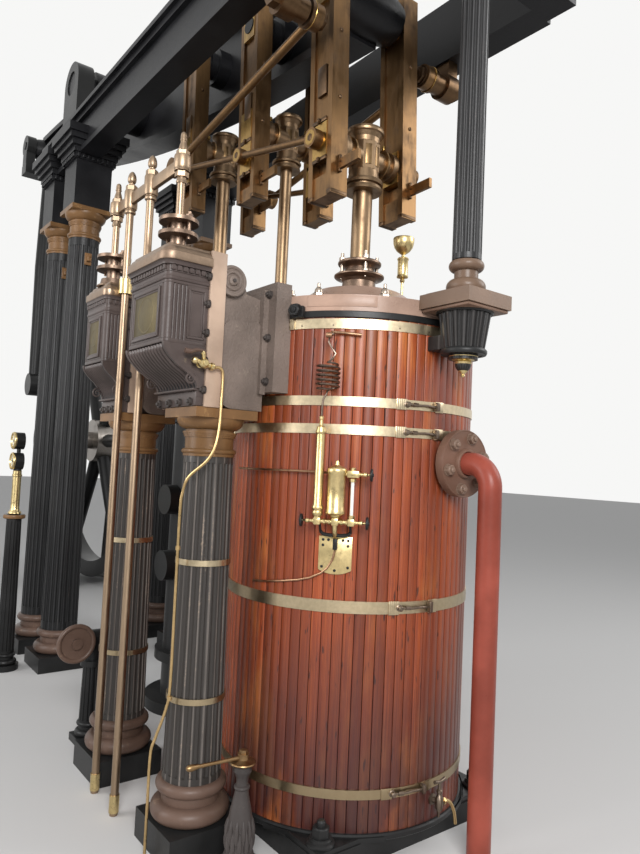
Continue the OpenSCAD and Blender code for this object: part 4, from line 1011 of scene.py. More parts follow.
@dataclass
class CylinderTop:
    """Hoop, studs and gland of one cylinder cover."""

    name: str = "low"
    centre_x: float = 0.0
    radius: float = 0.575
    rod: float = 0.05
    gland_top: float = 2.625
    disc: float = 0.126
    studs: int = 10
    stud_start: float = -62.0
    hoop_bolt: Optional[float] = -65.7
    cover_face: float = 2.311
    dome_top: float = 2.441

    def hoop(self) -> None:
        """Lay the black hoop under the cover, with its clamping lugs and hex bolt."""
        iron = Shaper(f"{self.name}_cover_hoop", Shade.BLACK)
        r = self.radius
        section = [
            (r - 0.02, 2.213), (r + 0.0055, 2.213), (r + 0.0085, 2.2155), (r + 0.0085, 2.2385),
            (r + 0.006, 2.2412), (r - 0.02, 2.2412),
        ]
        iron.turned(section, Matrix.Translation((self.centre_x, 0.0, 0.0)), 120, closed=True)
        if self.hoop_bolt is not None:
            lug = on_wall(self.hoop_bolt, 2.236, r + 0.004, self.centre_x)
            iron.block((0.066, 0.052, 0.026), lug, 0.006)
            iron.bolt(0.027, 0.022, lug @ Matrix.Translation((0.0, 0.004, 0.026)), 0.3)
            arc = [radians(a) for a in range(-62, -30, 2)]
            outline = [((r + 0.001) * cos(a), (r + 0.001) * sin(a)) for a in arc]
            outline += [((r + 0.0068) * cos(a), (r + 0.0068) * sin(a)) for a in arc[::-1]]
            plate = Shaper(f"{self.name}_cover_plate", Shade.COVER)
            plate.prism(outline[::-1], 0.046, Matrix.Translation((self.centre_x, 0.0, 2.26)), 0.0012)
            plate.done()
        iron.done()

    def cover_nuts(self) -> None:
        """Stand the domed nuts on the cover."""
        nuts = Shaper(f"{self.name}_cover_nuts", Shade.NUT)
        for k in range(self.studs):
            a = radians(self.stud_start + k * 360.0 / self.studs)
            r = self.radius * 0.82
            at = placed((self.centre_x + r * cos(a), r * sin(a), self.cover_face))
            nuts.turned(mm((0, 0), (30, 0), (31, 4), (28, 7), (0, 7)), at, 24)
            nuts.nut(0.0255, 0.03, raised(at, 0.007))
            cap = mm((0, 36), (18.5, 36), (18.5, 40), (16.5, 52), (10, 60), (7.5, 63), (7.5, 78),
                     (5, 81), (0, 81.5))
            nuts.turned(cap, at, 20)
        nuts.done()

    def gland(self) -> None:
        """Build the gland: neck, two thin flared discs, draw studs and nuts."""
        metal = Shaper(f"{self.name}_gland", Shade.GLAND)
        top = self.gland_top
        r = self.disc
        bore = self.rod + 0.0008
        profile = [
            (bore, self.dome_top - 0.002), (r * 0.9, self.dome_top - 0.002), (r * 0.86,
                                                                              self.dome_top + 0.016),
            (r * 0.7, self.dome_top + 0.026), (r * 0.66, top - 0.112), (r * 0.74, top - 0.098),
            (r * 0.97, top - 0.09), (r, top - 0.086), (r, top - 0.079), (r * 0.96, top - 0.075),
            (r * 0.7, top - 0.069), (r * 0.6, top - 0.063), (r * 0.56, top - 0.04), (r * 0.62, top - 0.032),
            (r * 0.84, top - 0.025), (r * 0.87, top - 0.02), (r * 0.87, top - 0.012), (r * 0.84,
                                                                                       top - 0.008),
            (r * 0.66, top - 0.004), (r * 0.52, top), (bore, top),
        ]
        metal.turned(profile, Matrix.Translation((self.centre_x, 0.0, 0.0)), 64, closed=True)
        metal.done()
        nuts = Shaper(f"{self.name}_gland_studs", Shade.NUT)
        for angle in (-112.0, -22.0, 68.0, 158.0):
            a = radians(angle)
            x = self.centre_x + r * 0.73 * cos(a)
            y = r * 0.73 * sin(a)
            nuts.tube([(x, y, top - 0.1), (x, y, top + 0.03)], 0.0085, 12)
            nuts.nut(0.0165, 0.017, placed((x, y, top - 0.008)))
            nuts.nut(0.015, 0.012, placed((x, y, top - 0.073)))
        nuts.done("engine_frame", "cylinder_glands")

    def build(self) -> None:
        """Build the whole top."""
        self.hoop()
        self.cover_nuts()
        self.gland()


@dataclass
class CoverOiler:
    """Brass cup, drip cylinder and pipe beside the low pressure gland."""

    x: float = 0.1
    y: float = 0.205
    foot: float = 2.44

    def build(self) -> None:
        """Build it in one turned stack."""
        brass = Shaper("cover_oiler_set", Shade.BRASS)
        at = placed((self.x, self.y, self.foot))
        brass.turned(mm((0, -20), (16, -20), (17, 0), (12, 8), (6.5, 12), (6.5, 98), (11, 102),
                        (13, 110), (10, 117), (14, 121), (28.5, 125), (30, 130), (27.5, 134),
                        (26.2, 140), (26.2, 212), (29, 216), (30, 222), (26, 227), (10.5, 231),
                        (8.5, 244), (18, 250), (34, 262), (47, 280), (53, 302), (54.5, 326), (52, 330),
                        (50, 327), (48, 304), (0, 296)), at, 40)
        brass.done("engine_frame", "cover_oilers")


@dataclass
class Lubricator:
    """Displacement lubricator on the lagging: coil, tube, vessel, sight glass, valves and plate."""

    angle: float = -45.0
    radius: float = 0.575
    reach: float = 0.07

    def spot(self, x: float, z: float, out: float) -> Point:
        """Return the point at so much to the right, at a height and so far off the wall."""
        return tuple(on_wall(self.angle, z, self.radius) @ Vector((x, 0.0, out)))

    def upright(self, x: float, z: float, out: Optional[float] = None) -> Matrix:
        """Return the matrix of an upright turned piece that stands off the wall."""
        wall = on_wall(self.angle, z, self.radius)
        return placed(self.spot(x, z, self.reach if out is None else out), (0, 0, 1),
                      tuple(wall.col[0].to_3d()))

    def sideways(self, x: float, z: float, right: bool = True) -> Matrix:
        """Return the matrix of a piece whose axis lies along the wall."""
        along = on_wall(self.angle, z, self.radius).col[0].to_3d() * (1.0 if right else -1.0)
        return placed(self.spot(x, z, self.reach), tuple(along), (0, 0, 1))

    def hand_wheel(self, brass: Shaper, dark: Shaper, x: float, z: float, right: bool) -> None:
        """Add one valve stem with its packing nuts and small handwheel."""
        at = self.sideways(x, z, right)
        brass.turned(mm((0, 0), (10, 0), (10, 6), (6.5, 8), (6.5, 18), (9.5, 20), (9.5, 32), (6, 35),
                        (4.5, 38), (4.5, 55), (0, 55)), at, 16)
        dark.turned(mm((0, 46), (7, 46), (9, 50), (21, 48.5), (23.5, 46.5), (26.5, 49), (26.5, 54.5),
                       (23.5, 57), (20, 54.5), (8, 55), (6, 61), (0, 62)), at, 24)

    def vessel(self, brass: Shaper) -> None:
        """Add the vessel with its moulded ends and filler plug."""
        brass.turned(mm((0, 1372), (12, 1372), (12, 1380), (20, 1386), (22, 1392), (36, 1396),
                        (39.5, 1400), (39.5, 1413), (37.2, 1417), (37.2, 1556), (40, 1560),
                        (40.8, 1568), (40.8, 1576), (38, 1582), (24, 1590), (10, 1594), (8.5, 1598),
                        (8.5, 1604), (5.5, 1612), (0, 1614)), self.upright(0.0, 0.0), 36)

    def tube(self, brass: Shaper) -> None:
        """Add the condensing tube."""
        brass.turned(mm((0, 1376), (14, 1376), (14, 1384), (20, 1390), (22, 1400), (19, 1408),
                        (23.5, 1414), (24.5, 1422), (20.5, 1430), (18.5, 1436), (18.5, 1716),
                        (21.5, 1720), (22.5, 1728), (18.5, 1738), (18.5, 1746), (8.5, 1752), (7, 1775),
                        (9.5, 1778), (9.5, 1788), (4.5, 1792), (0, 1792)),
                     self.upright(-0.073, 0.0), 28)

    def plate(self, brass: Shaper, dark: Shaper) -> None:
        """Add the back plate with its rounded foot, screws and bracket."""
        outline = mm((-69, 155), (-69, 20))
        outline += [(0.112 * sin(radians(a)), 0.088 - 0.088 * cos(radians(a))) for a in
                    range(-36, 37, 6)]
        outline += mm((69, 20), (69, 155))
        wall = on_wall(self.angle, 1.146, self.radius + 0.0012)
        brass.prism([(x, y) for x, y in reversed(outline)], 0.005, wall, 0.001)
        for x, y in ((-0.052, 0.14), (0.052, 0.14), (-0.052, 0.118), (0.052, 0.118), (-0.054, 0.03),
                     (0.054, 0.03),
                     (0.0, 0.016), (-0.03, 0.14), (0.03, 0.14)):
            screw = wall @ Matrix.Translation((x, y, 0.0045))
            dark.turned(mm((0, 0), (6.2, 0), (5.5, 2.8), (0, 4.2)), screw, 12)
        for s in (-1.0, 1.0):
            dark.tube([self.spot(s * 0.062, 1.322, 0.03), self.spot(s * 0.05, 1.312, 0.034),
                       self.spot(s * 0.018, 1.309, 0.046), self.spot(0.0, 1.312, 0.05)], 0.0075, 10)
            dark.tube([self.spot(s * 0.062, 1.355, self.reach - 0.004),
                       self.spot(s * 0.062, 1.318, 0.028)], 0.0055, 8)
        dark.block((0.018, 0.05, 0.03), wall @ Matrix.Translation((0.0, 0.128, 0.004)), 0.003)

    def coil(self) -> None:
        """Wind the steel coil with its swan neck and stub pipe."""
        steel = Shaper("lubricator_coil", Shade.COIL)
        path = []
        turns, steps = 6.4, 26
        for i in range(int(turns * steps) + 1):
            a = 2 * pi * i / steps
            grow = min(1.0, i / 14.0, (turns * steps - i) / 14.0 + 0.02)
            path.append(self.spot(-0.056 + 0.047 * grow * cos(a), 1.896 + 0.118 * i / (turns * steps),
                                  0.058 + 0.047 * grow * sin(a)))
        down = [self.spot(-0.073, 1.79, self.reach), self.spot(-0.073, 1.83, self.reach),
                self.spot(-0.07, 1.862, 0.066), self.spot(-0.058, 1.884, 0.06)]
        up = [self.spot(-0.04, 2.028, 0.06), self.spot(-0.028, 2.05, 0.06), self.spot(-0.045, 2.072, 0.056),
              self.spot(-0.06, 2.098, 0.052), self.spot(-0.058, 2.122, 0.046), self.spot(-0.044, 2.136,
                                                                                         0.04)]
        steel.tube(down + path + up, 0.0042, 9)
        steel.done("engine_frame", "oil_coil")

    def fittings(self, brass: Shaper, dark: Shaper) -> None:
        """Add the lower cross, the upper valve and the sight glass between them."""
        low, high = 1.366, 1.56
        for x in (-0.073, 0.0, 0.065):
            brass.block((0.028, 0.026, 0.03), self.upright(x, low - 0.015), 0.004)
        brass.tube([self.spot(-0.073, low, self.reach), self.spot(0.065, low, self.reach)], 0.0085, 12)
        for x in (-0.047, -0.026, 0.022, 0.043):
            brass.nut(0.0125, 0.009, self.sideways(x, low))
        self.hand_wheel(brass, dark, -0.086, low, False)
        self.hand_wheel(brass, dark, 0.078, low, True)
        brass.block((0.05, 0.026, 0.03), self.upright(0.066, high - 0.015), 0.005)
        brass.tube([self.spot(0.034, high, self.reach), self.spot(0.066, high, self.reach)], 0.009, 12)
        self.hand_wheel(brass, dark, 0.088, high, True)
        brass.nut(0.0115, 0.014, self.upright(0.065, high + 0.013))
        brass.nut(0.0145, 0.014, self.upright(0.065, high - 0.031))
        brass.nut(0.0145, 0.014, self.upright(0.065, low + 0.015))
        brass.tube([self.spot(0.0, 1.4, self.reach), self.spot(0.0, 1.335, self.reach),
                    self.spot(0.0, 1.318, 0.058),
                    self.spot(0.0, 1.3, 0.03)], 0.01, 12)

    def build(self) -> None:
        """Build the whole set."""
        brass = Shaper("lubricator_brass", Shade.BRASS)
        dark = Shaper("lubricator_handwheels", Shade.BLACK)
        self.vessel(brass)
        self.tube(brass)
        self.plate(brass, dark)
        self.fittings(brass, dark)
        brass.done("engine_frame", "lubricator")
        dark.done()
        glass = Shaper("lubricator_glass", Shade.GLASS)
        glass.tube([self.spot(0.065, 1.39, self.reach), self.spot(0.065, 1.535, self.reach)], 0.0072, 14)
        glass.done()
        self.coil()
        stub = Shaper("lubricator_pipes", Shade.COPPER)
        stub.tube([self.spot(-0.046, 2.134, 0.04), self.spot(-0.052, 2.146, 0.022),
                   self.spot(-0.035, 2.146, 0.018),
                   self.spot(0.02, 2.143, 0.016), self.spot(0.072, 2.139, 0.012)], 0.006, 10)
        stub.turned(mm((0, -12), (11, -12), (11, 12), (0, 12)), self.sideways(-0.058, 2.124), 14)
        drain = [self.spot(0.0, 1.245, 0.024), self.spot(-0.01, 1.205, 0.018), self.spot(-0.03, 1.17, 0.01)]
        wall = [tuple(on_wall(a, z, 0.5835).translation) for a, z in
                ((-50.5, 1.148), (-55.0, 1.126), (-60.0, 1.112), (-68.0, 1.098), (-76.0, 1.086),
                 (-84.0, 1.078))]
        stub.tube(drain + wall, 0.0045, 9)
        side = [self.spot(-0.04, 1.562, self.reach)] + [
            tuple(on_wall(a, z, 0.6).translation) for a, z in
            ((-54.0, 1.563), (-62.0, 1.563), (-72.0, 1.562), (-84.0, 1.561), (-97.0, 1.56))]
        stub.tube(side, 0.0052, 9)
        stub.done()


# Valve chests and valve gear


def smooth_path(points: Sequence[Point], steps: int = 8) -> list[Point]:
    """Return a smooth curve through the points.

    Args:
        points: the points that it passes.
        steps: the pieces between two of them.

    Returns:
        The curve's points.
    """
    ends = [Vector(p) for p in (points[0], *points, points[-1])]
    curve: list[Point] = []
    for a, b, c, d in zip(ends, ends[1:], ends[2:], ends[3:]):
        for i in range(steps):
            t = i / steps
            curve.append(tuple(0.5 * (2 * b + (c - a) * t + (2 * a - 5 * b + 4 * c - d) * t * t
                                      + (3 * b - a - 3 * c + d) * t ** 3)))
    return curve + [tuple(points[-1])]


@dataclass
class ValveChest:
    """One steam chest: panelled body, cornice and cap, reeded scroll and flange strip."""

    name: str = "low_chest"
    node: str = "low_valve_chest"
    x: float = -0.055
    half: float = 0.185
    front: float = 1.09
    over: float = 0.026
    reeds: int = 12
    back: float = 0.905
    scroll_z: float = 2.045
    panel_top: float = 2.3
    foot: float = 1.845
    cap_z: float = 2.39
    cap_t: float = 0.052
    console_y: float = 0.935
    corner: float = 0.026

    def plan(self, grow: float) -> list[tuple[float, float]]:
        """Return the plan outline with round front corners, grown by so much."""
        w = self.half + grow
        f = self.front + grow
        r = self.corner + grow
        points = [(self.x - w, -self.back)]
        for i in range(9):
            a = radians(180 + i * 11.25)
            points.append((self.x - w + r + r * cos(a), -f + r + r * sin(a)))
        for i in range(9):
            a = radians(270 + i * 11.25)
            points.append((self.x + w - r + r * cos(a), -f + r + r * sin(a)))
        return points + [(self.x + w, -self.back)]

    def fluted_plan(self) -> list[tuple[float, float]]:
        """Return the body's plan with flutes cut into its front corners."""
        outline: list[tuple[float, float]] = []
        plain = self.plan(0.0)
        span = len(plain)
        for i, (p, q) in enumerate(zip(plain, plain[1:])):
            outline.append(p)
            if i not in (0, span // 2 - 1, span - 2):
                continue
            length = hypot(q[0] - p[0], q[1] - p[1])
            normal = ((q[1] - p[1]) / length, -(q[0] - p[0]) / length)
            pitch = 0.017
            count = 4 if i in (0, span - 2) else 1
            starts = [length - (k + 1) * pitch - 0.001 for k in range(count)][::-1]
            if i == span - 2:
                starts = [k * pitch + 0.001 for k in range(count)]
            if i == span // 2 - 1:
                starts = [0.001, length - pitch - 0.001]
            for start in starts:
                for k in range(7):
                    t = (start + 0.0015 + (pitch - 0.003) * k / 6) / length
                    deep = -0.0062 * sin(pi * k / 6)
                    outline.append((p[0] + (q[0] - p[0]) * t + normal[0] * deep,
                                    p[1] + (q[1] - p[1]) * t + normal[1] * deep))
        return outline + [plain[-1]]

    def scroll(self, t: float) -> tuple[float, float]:
        """Return how far the scroll's face stands out and its height at t from 0 to 1."""
        bulge = 0.063
        z = self.scroll_z - (self.scroll_z - self.foot - 0.032) * t
        if t < 0.5:
            return self.front - (1 - cos(t * pi)) * bulge, z
        out = self.front - bulge - sin((t - 0.5) * pi) * (self.front - bulge - self.console_y)
        return out, z

    def body(self, iron: Shaper) -> None:
        """Add the fluted body, its beads and the scroll's core."""
        base = Matrix.Translation((0.0, 0.0, self.scroll_z))
        iron.prism(self.plan(-0.0075), self.panel_top - self.scroll_z + 0.002, base)
        iron.prism(self.fluted_plan(), self.panel_top - self.scroll_z - 0.034,
                   Matrix.Translation((0.0, 0.0, self.scroll_z + 0.017)))
        for z, h in ((self.scroll_z, 0.017), (self.panel_top - 0.017, 0.017)):
            iron.prism(self.plan(0.0), h, Matrix.Translation((0.0, 0.0, z)), 0.002)
        side = [(self.back, self.foot), (self.back, self.scroll_z + 0.001)]
        side += [self.scroll(i / 24) for i in range(25)] + [(self.console_y, self.foot)]
        at = placed((self.x - self.half + 0.012, 0.0, 0.0), OUTWARD, NEAR)
        # Painted shade: the scroll's core is seen only in the grooves between the reeds and takes the near
        # black girder paint.
        dark = Shaper(f"{self.name}_scroll_core", Shade.GIRDER)
        flat = [(y - (0.015 if y > self.console_y + 0.016 else 0.0), -z) for y, z in side]
        dark.prism(flat, 2 * self.half - 0.024, at)
        for x in (self.x - self.half, self.x + self.half - 0.0125):
            cheek = placed((x, 0.0, 0.0), OUTWARD, NEAR)
            iron.prism([(y - 0.001, -z) for y, z in side], 0.0125, cheek)
        dark.done()

    def reeding(self, iron: Shaper) -> None:
        """Add the round headed reeds and the raised bands at the scroll's sides."""
        pitch = (2 * self.half - 0.034) / self.reeds
        for k in range(self.reeds):
            x = self.x - self.half + 0.017 + (k + 0.5) * pitch
            path, radii = [], []
            for i in range(19):
                out, z = self.scroll(0.03 + 0.95 * i / 18)
                path.append((x, -out + 0.0035, z))
                radii.append(pitch * 0.335 * (0.55 if i == 0 else 1.0 if i < 15 else 1.0 - 0.08 * (i - 14)))
            iron.tube(path, radii, 8)
        for s in (-1.0, 1.0):
            x = self.x + s * self.half
            outer = [self.scroll(i / 20) for i in range(21)]
            inner = [(y - 0.022, z - 0.004 * (i / 20)) for i, (y, z) in enumerate(outer)]
            band = [(y + 0.003, z) for y, z in outer] + inner[::-1]
            at = placed((x - 0.009, 0.0, 0.0), OUTWARD, NEAR)
            iron.prism([(y, -z) for y, z in band], 0.018, at)
            spiral = []
            for i in range(34):
                a = i * 0.36
                r = 0.027 * (1 - i / 36)
                spiral.append((x + s * 0.004, -(self.back + 0.06) + r * cos(a),
                               self.foot + 0.066 + r * sin(a)))
            iron.tube(spiral, [0.0052 * (1 - i / 60) for i in range(34)], 8)

    def frame(self, iron: Shaper, centre: Matrix, w: float, h: float, rail: float, proud: float) -> None:
        """Add four mitred rails round a panel."""
        for turn, span, off in ((0, w, h), (180, w, h), (90, h, w), (270, h, w)):
            outline = [(-span / 2, 0.0), (span / 2, 0.0), (span / 2 - rail, rail), (-span / 2 + rail, rail)]
            at = centre @ Matrix.Rotation(radians(turn), 4,
                                          "Z") @ Matrix.Translation((0.0, -off / 2, 0.0))
            iron.prism(outline, proud, at, 0.0022)

    def panels(self, iron: Shaper) -> None:
        """Add the panel frames of the front and the sides, and the front's blank plate."""
        z = (self.scroll_z + self.panel_top) / 2
        w = 2 * self.half - 0.105
        h = self.panel_top - self.scroll_z - 0.052
        front = placed((self.x, -self.front, z), NEAR, OUTWARD)
        self.frame(iron, front, w, h, 0.013, 0.0075)
        self.frame(iron, front, w - 0.024, h - 0.024, 0.009, 0.0045)
        plate = Shaper(f"{self.name}_blank_plate", Shade.OLIVE)
        plate.block((w - 0.04, h - 0.04, 0.0024), front, 0.0008)
        ring = (w - 0.04) * 0.34
        plate.turned([(ring - 0.01, 0.002), (ring - 0.004, 0.0034), (ring, 0.0034), (ring + 0.003, 0.002)],
                     front, 48, closed=True)
        plate.done()
        depth = self.front - self.back
        for s in (-1.0, 1.0):
            y = -self.back - (depth - 0.098) / 2 - 0.008
            side = placed((self.x + s * self.half, y, z), (s, 0.0, 0.0), (0.0, s, 0.0))
            self.frame(iron, side, depth - 0.106, h, 0.01, 0.0055)
            self.frame(iron, side, depth - 0.128, h - 0.022, 0.006, 0.0025)

    def cornice(self, iron: Shaper) -> None:
        """Add the mouldings under the cap and their dentils."""
        k = self.over / 0.026
        top = self.panel_top
        steps = mm((0, -6), (4, -4), (6.5, 1), (6.5, 5), (3, 9), (1.5, 12), (1.5, 26), (5, 27), (5, 30),
                   (1.5, 31), (1.5, 53), (13, 54), (13.5, 59), (15, 63), (18, 68), (21.5, 71),
                   (21.5, 89.5))
        rings = [(self.plan(out * k), top + dz) for out, dz in steps]
        iron.loft(rings)
        count_x = int((2 * self.half - 0.02) / 0.0255)
        count_y = int((self.front - self.back - 0.02) / 0.0255)
        for i in range(count_x):
            x = self.x - self.half + 0.022 + i * (2 * self.half - 0.044) / (count_x - 1)
            at = placed((x, -self.front - 0.0005, top + 0.0325), UP)
            iron.block((0.0165, 0.017 * k, 0.0195), at, 0.0012)
        for s in (-1.0, 1.0):
            for i in range(count_y):
                y = -self.front + 0.022 + i * 0.0262
                at = placed((self.x + s * (self.half + 0.0005), y, top + 0.0325))
                iron.block((0.017 * k, 0.0165, 0.0195), at, 0.0012)

    def cap(self) -> None:
        """Add the bronze brown cap with its rounded nose."""
        bronze = Shaper(f"{self.name}_cap", Shade.CAP)
        o = self.over
        steps = [(o - 0.004, -0.02), (o - 0.0012, -0.019), (o, -0.015), (o, 0.004), (o, 0.011),
                 (o - 0.0015, 0.015),
                 (o - 0.006, 0.018),
                 (o - 0.01, 0.0185), (o - 0.0115, 0.023), (o - 0.0165, 0.033), (o - 0.024,
                                                                                0.04), (o - 0.028, 0.042),
                 (o - 0.03, 0.048), (o - 0.033, self.cap_t), (-0.05, self.cap_t + 0.0005)]
        bronze.loft([(self.plan(max(out, -self.corner + 0.004)), self.cap_z + dz) for out, dz in steps])
        spindle = placed((self.x, -0.968, self.cap_z + self.cap_t))
        bronze.turned(mm((0, 0), (78, 0), (79, 4), (74, 8), (70, 10), (0, 10)), spindle, 36)
        bronze.done()

    def strip(self) -> None:
        """Add the flange strips beside the chest's back, with their bolts."""
        tan = Shaper(f"{self.name}_flange_strips", Shade.STRIP)
        nuts = Shaper(f"{self.name}_flange_bolts", Shade.DARK_NUT)
        for s in (-1.0, 1.0):
            x = self.x + s * (self.half + 0.0045)
            tan.block((0.017, 0.072, self.cap_z + self.cap_t - self.foot + 0.042),
                      placed((x, -self.back + 0.036, self.foot - 0.04)), 0.0028)
            for z in (2.335, 2.222, 2.104, 1.99, 1.872):
                at = placed((x + s * 0.004, -self.back + 0.0005, z), NEAR, UP)
                nuts.bolt(0.015, 0.013, at, 0.7)
        for k in range(4):
            x = self.x - self.half + 0.04 + k * (2 * self.half - 0.08) / 3
            at = placed((x, -self.console_y + 0.001, self.foot - 0.021), NEAR, UP)
            nuts.bolt(0.0165, 0.015, at, 0.5)
        tan.done()
        nuts.done()

    def console(self, iron: Shaper) -> None:
        """Add the moulded foot between the scroll and the pedestal."""
        iron.block((2 * self.half + 0.004, self.console_y - self.back + 0.024, 0.01),
                   placed((self.x, -(self.console_y + self.back) / 2 - 0.008, self.foot + 0.022)), 0.0045)
        iron.block((2 * self.half - 0.006, self.console_y - self.back + 0.006, 0.06),
                   placed((self.x, -(self.console_y + self.back) / 2, self.foot - 0.038)), 0.003)

    def build(self) -> None:
        """Build the whole chest."""
        iron = Shaper(self.name, Shade.CHEST)
        self.body(iron)
        self.reeding(iron)
        self.panels(iron)
        self.cornice(iron)
        self.console(iron)
        iron.done("engine_frame", self.node, "chest_caps")
        self.cap()
        self.strip()


@dataclass
class PassageDress:
    """Ring bosses on a cross pipe's ends and the bolts of the port flange."""

    name: str = "low_passage"
    x: float = -0.055
    half: float = 0.185
    pipe_y: float = 0.797
    pipe_z: float = 2.341
    flange_y: float = 0.62

    def build(self) -> None:
        """Fit them."""
        rings = Shaper(f"{self.name}_ring_bosses", Shade.CASING)
        nuts = Shaper(f"{self.name}_flange_bolts", Shade.DARK_NUT)
        for s in (-1.0, 1.0):
            at = placed((self.x + s * (self.half - 0.001), -self.pipe_y, self.pipe_z), (s, 0.0, 0.0), UP)
            rings.turned(mm((0, 0), (64.5, 0), (65.5, 3), (64, 6.5), (56, 8), (52.5, 6.5), (50, 3),
                            (44, 2.5), (41.5, 5), (40, 9), (34, 10), (31, 8), (29, 3.5), (24, 3),
                            (21.5, 6), (20, 11), (15, 14), (6, 15), (0, 15.2)), at, 44)
            nuts.turned(mm((0, 14), (8.5, 14), (8, 19), (0, 20.5)), at, 16)
        near = self.x + self.half + 0.012
        for z in (2.312, 2.124, 1.936):
            x = near + 0.01
            at = placed((x, -self.flange_y - 0.0005, z), NEAR, UP)
            nuts.bolt(0.015, 0.014, at, 0.6)
        rings.done()
        nuts.done()


@dataclass
class DrainCock:
    """Brass cock on the chest's flange strip, with the thin pipe down to the floor."""

    place: Point = (0.15, -0.928, 1.975)

    def build(self) -> None:
        """Build the cock, its lever and its pipe."""
        brass = Shaper("chest_drain_cock", Shade.BRASS)
        x, y, z = self.place
        out = placed(self.place, OUTWARD, UP)
        brass.turned(mm((0, -28), (16, -28), (16, -20), (10, -18), (10, -6), (17, -1), (21, 8),
                        (21, 16), (17, 24), (10, 28), (0, 29)), out, 24)
        brass.nut(0.013, 0.01, raised(out, 0.027))
        cross = placed((x + 0.012, y, z), (0.0, 1.0, -0.22), UP)
        brass.turned(mm((0, -50), (10, -50), (14, -44), (14, -34), (9, -30), (9, -20), (19, -12),
                        (22, 0), (19, 12), (10, 20), (10, 30), (15.5, 32), (15.5, 44), (11, 46),
                        (8, 52), (0, 52)), cross, 24)
        brass.tube(smooth_path([(x + 0.012, y, z + 0.014), (x + 0.016, y - 0.004, z + 0.036),
                                (x + 0.016, y - 0.012, z + 0.044)], 4), 0.009, 12)
        brass.done()
        lever = Shaper("chest_cock_lever", Shade.WORN_BROWN)
        lever.tube(smooth_path([(x + 0.016, y + 0.004, z + 0.047), (x + 0.018, y - 0.03, z + 0.05),
                                (x + 0.018, y - 0.062, z + 0.04), (x + 0.018, y - 0.086, z + 0.041)], 5),
                   [0.006] * 5 + [0.008] * 5 + [0.0105] * 6, 12)
        lever.done()
        pipe = Shaper("chest_drain_pipe", Shade.BRASS_PIPE)
        route = [(x + 0.012, y + 0.048, z - 0.011), (x + 0.014, y + 0.074, z - 0.01),
                 (x + 0.014, y + 0.088, z - 0.034),
                 (x + 0.012, y + 0.09, z - 0.12), (x + 0.01, y + 0.086, 1.7), (x - 0.006, y + 0.06, 1.6),
                 (x - 0.07, y + 0.006, 1.52), (0.046, -0.93, 1.455), (0.04, -0.934, 1.36), (0.04, -0.934,
                                                                                            1.0),
                 (0.04, -0.934, 0.68), (0.032, -0.944, 0.58), (0.012, -0.972, 0.47), (0.002, -0.985, 0.4),
                 (0.0, -0.985, 0.2), (0.0, -0.985, 0.004)]
        pipe.tube(smooth_path(route, 6), 0.0062, 10)
        for foot in (0.62, 1.22):
            pipe.turned(mm((0, 0), (10.5, 0), (10.5, 16), (0, 16)), placed((0.04, -0.934, foot)), 14)
        pipe.done("engine_frame", "oil_pipes")


@dataclass
class ValveGear:
    """Rods and spindles of the valve gear with the yoke that joins them."""

    y: float = -0.968
    rods: tuple[float, float] = (-0.622, -0.378)
    spindles: tuple[float, float] = (-0.055, -0.8)
    yoke_z: float = 2.85
    rod_r: float = 0.018
    spindle_r: float = 0.017

    def finial(self, metal: Shaper, x: float) -> None:
        """Add a rod's head: boss, hexagon cap, neck and acorn."""
        z = self.yoke_z
        at = placed((x, self.y, z))
        metal.turned(mm((0, -72), (21.5, -72), (26.5, -68), (27.5, -60), (24, -54), (24, -50),
                        (30, -47), (32.5, -38), (32.5, 40), (30, 46), (23, 48), (0, 48)), at, 30)
        metal.nut(0.0285, 0.026, raised(at, 0.047))
        metal.turned(mm((0, 71), (18.5, 71), (18, 76), (12, 80), (12.5, 84), (18, 88), (21, 97),
                        (21.2, 108), (19, 121), (14.5, 132), (8.5, 140), (3.5, 143.5),
                        (0, 144)), at, 26)

    def spindle_head(self, metal: Shaper, x: float) -> None:
        """Add a spindle's head: nuts over and under the yoke and a drawn out tip."""
        at = placed((x, self.y, self.yoke_z))
        metal.turned(mm((0, -36), (33, -36), (34, -33), (33, -30), (34.5, -27), (36.5, -20), (36.5, 26),
                        (34.5, 33), (0, 34)), at, 36)
        metal.nut(0.03, 0.026, raised(at, -0.062))
        metal.turned(mm((0, -88), (21.5, -88), (23.5, -82), (21.5, -76), (20, -60), (0, -60)), at, 26)
        metal.nut(0.029, 0.022, raised(at, 0.034))
        metal.turned(mm((0, 54), (21, 54), (20, 62), (16.5, 78), (12.5, 92), (12.5, 96), (15, 99),
                        (15, 104), (13.5, 108), (13.5, 122), (11, 132), (6, 136.5), (0, 137)), at, 26)

    def build(self) -> None:
        """Build rods, spindles and yoke."""
        rods = Shaper("valve_rods_turned", Shade.VALVE_ROD)
        for x in self.rods:
            rods.turned([(0.0, 0.001), (self.rod_r, 0.001), (self.rod_r, 1.2), (self.rod_r, 2.0),
                         (self.rod_r, self.yoke_z - 0.06), (0.0, self.yoke_z - 0.06)], placed((x, self.y,
                                                                                               0.0)), 28)
            self.finial(rods, x)
        rods.done("valve_gear", "valve_rods")
        yoke = Shaper("valve_yoke_turned", Shade.VALVE_ROD)
        span = self.spindles[0] - self.spindles[1]
        yoke.block((span, 0.022, 0.056), placed(((self.spindles[0] + self.spindles[1]) / 2, self.y,
                                                 self.yoke_z - 0.028)), 0.004)
        for x in self.spindles:
            yoke.turned([(0.0, 2.242), (self.spindle_r, 2.242), (self.spindle_r, 2.6),
                         (self.spindle_r, self.yoke_z),
                         (0.0, self.yoke_z)], placed((x, self.y, 0.0)), 26)
            self.spindle_head(yoke, x)
        yoke.done("valve_gear", "valve_yoke")


# Parallel motion and fittings


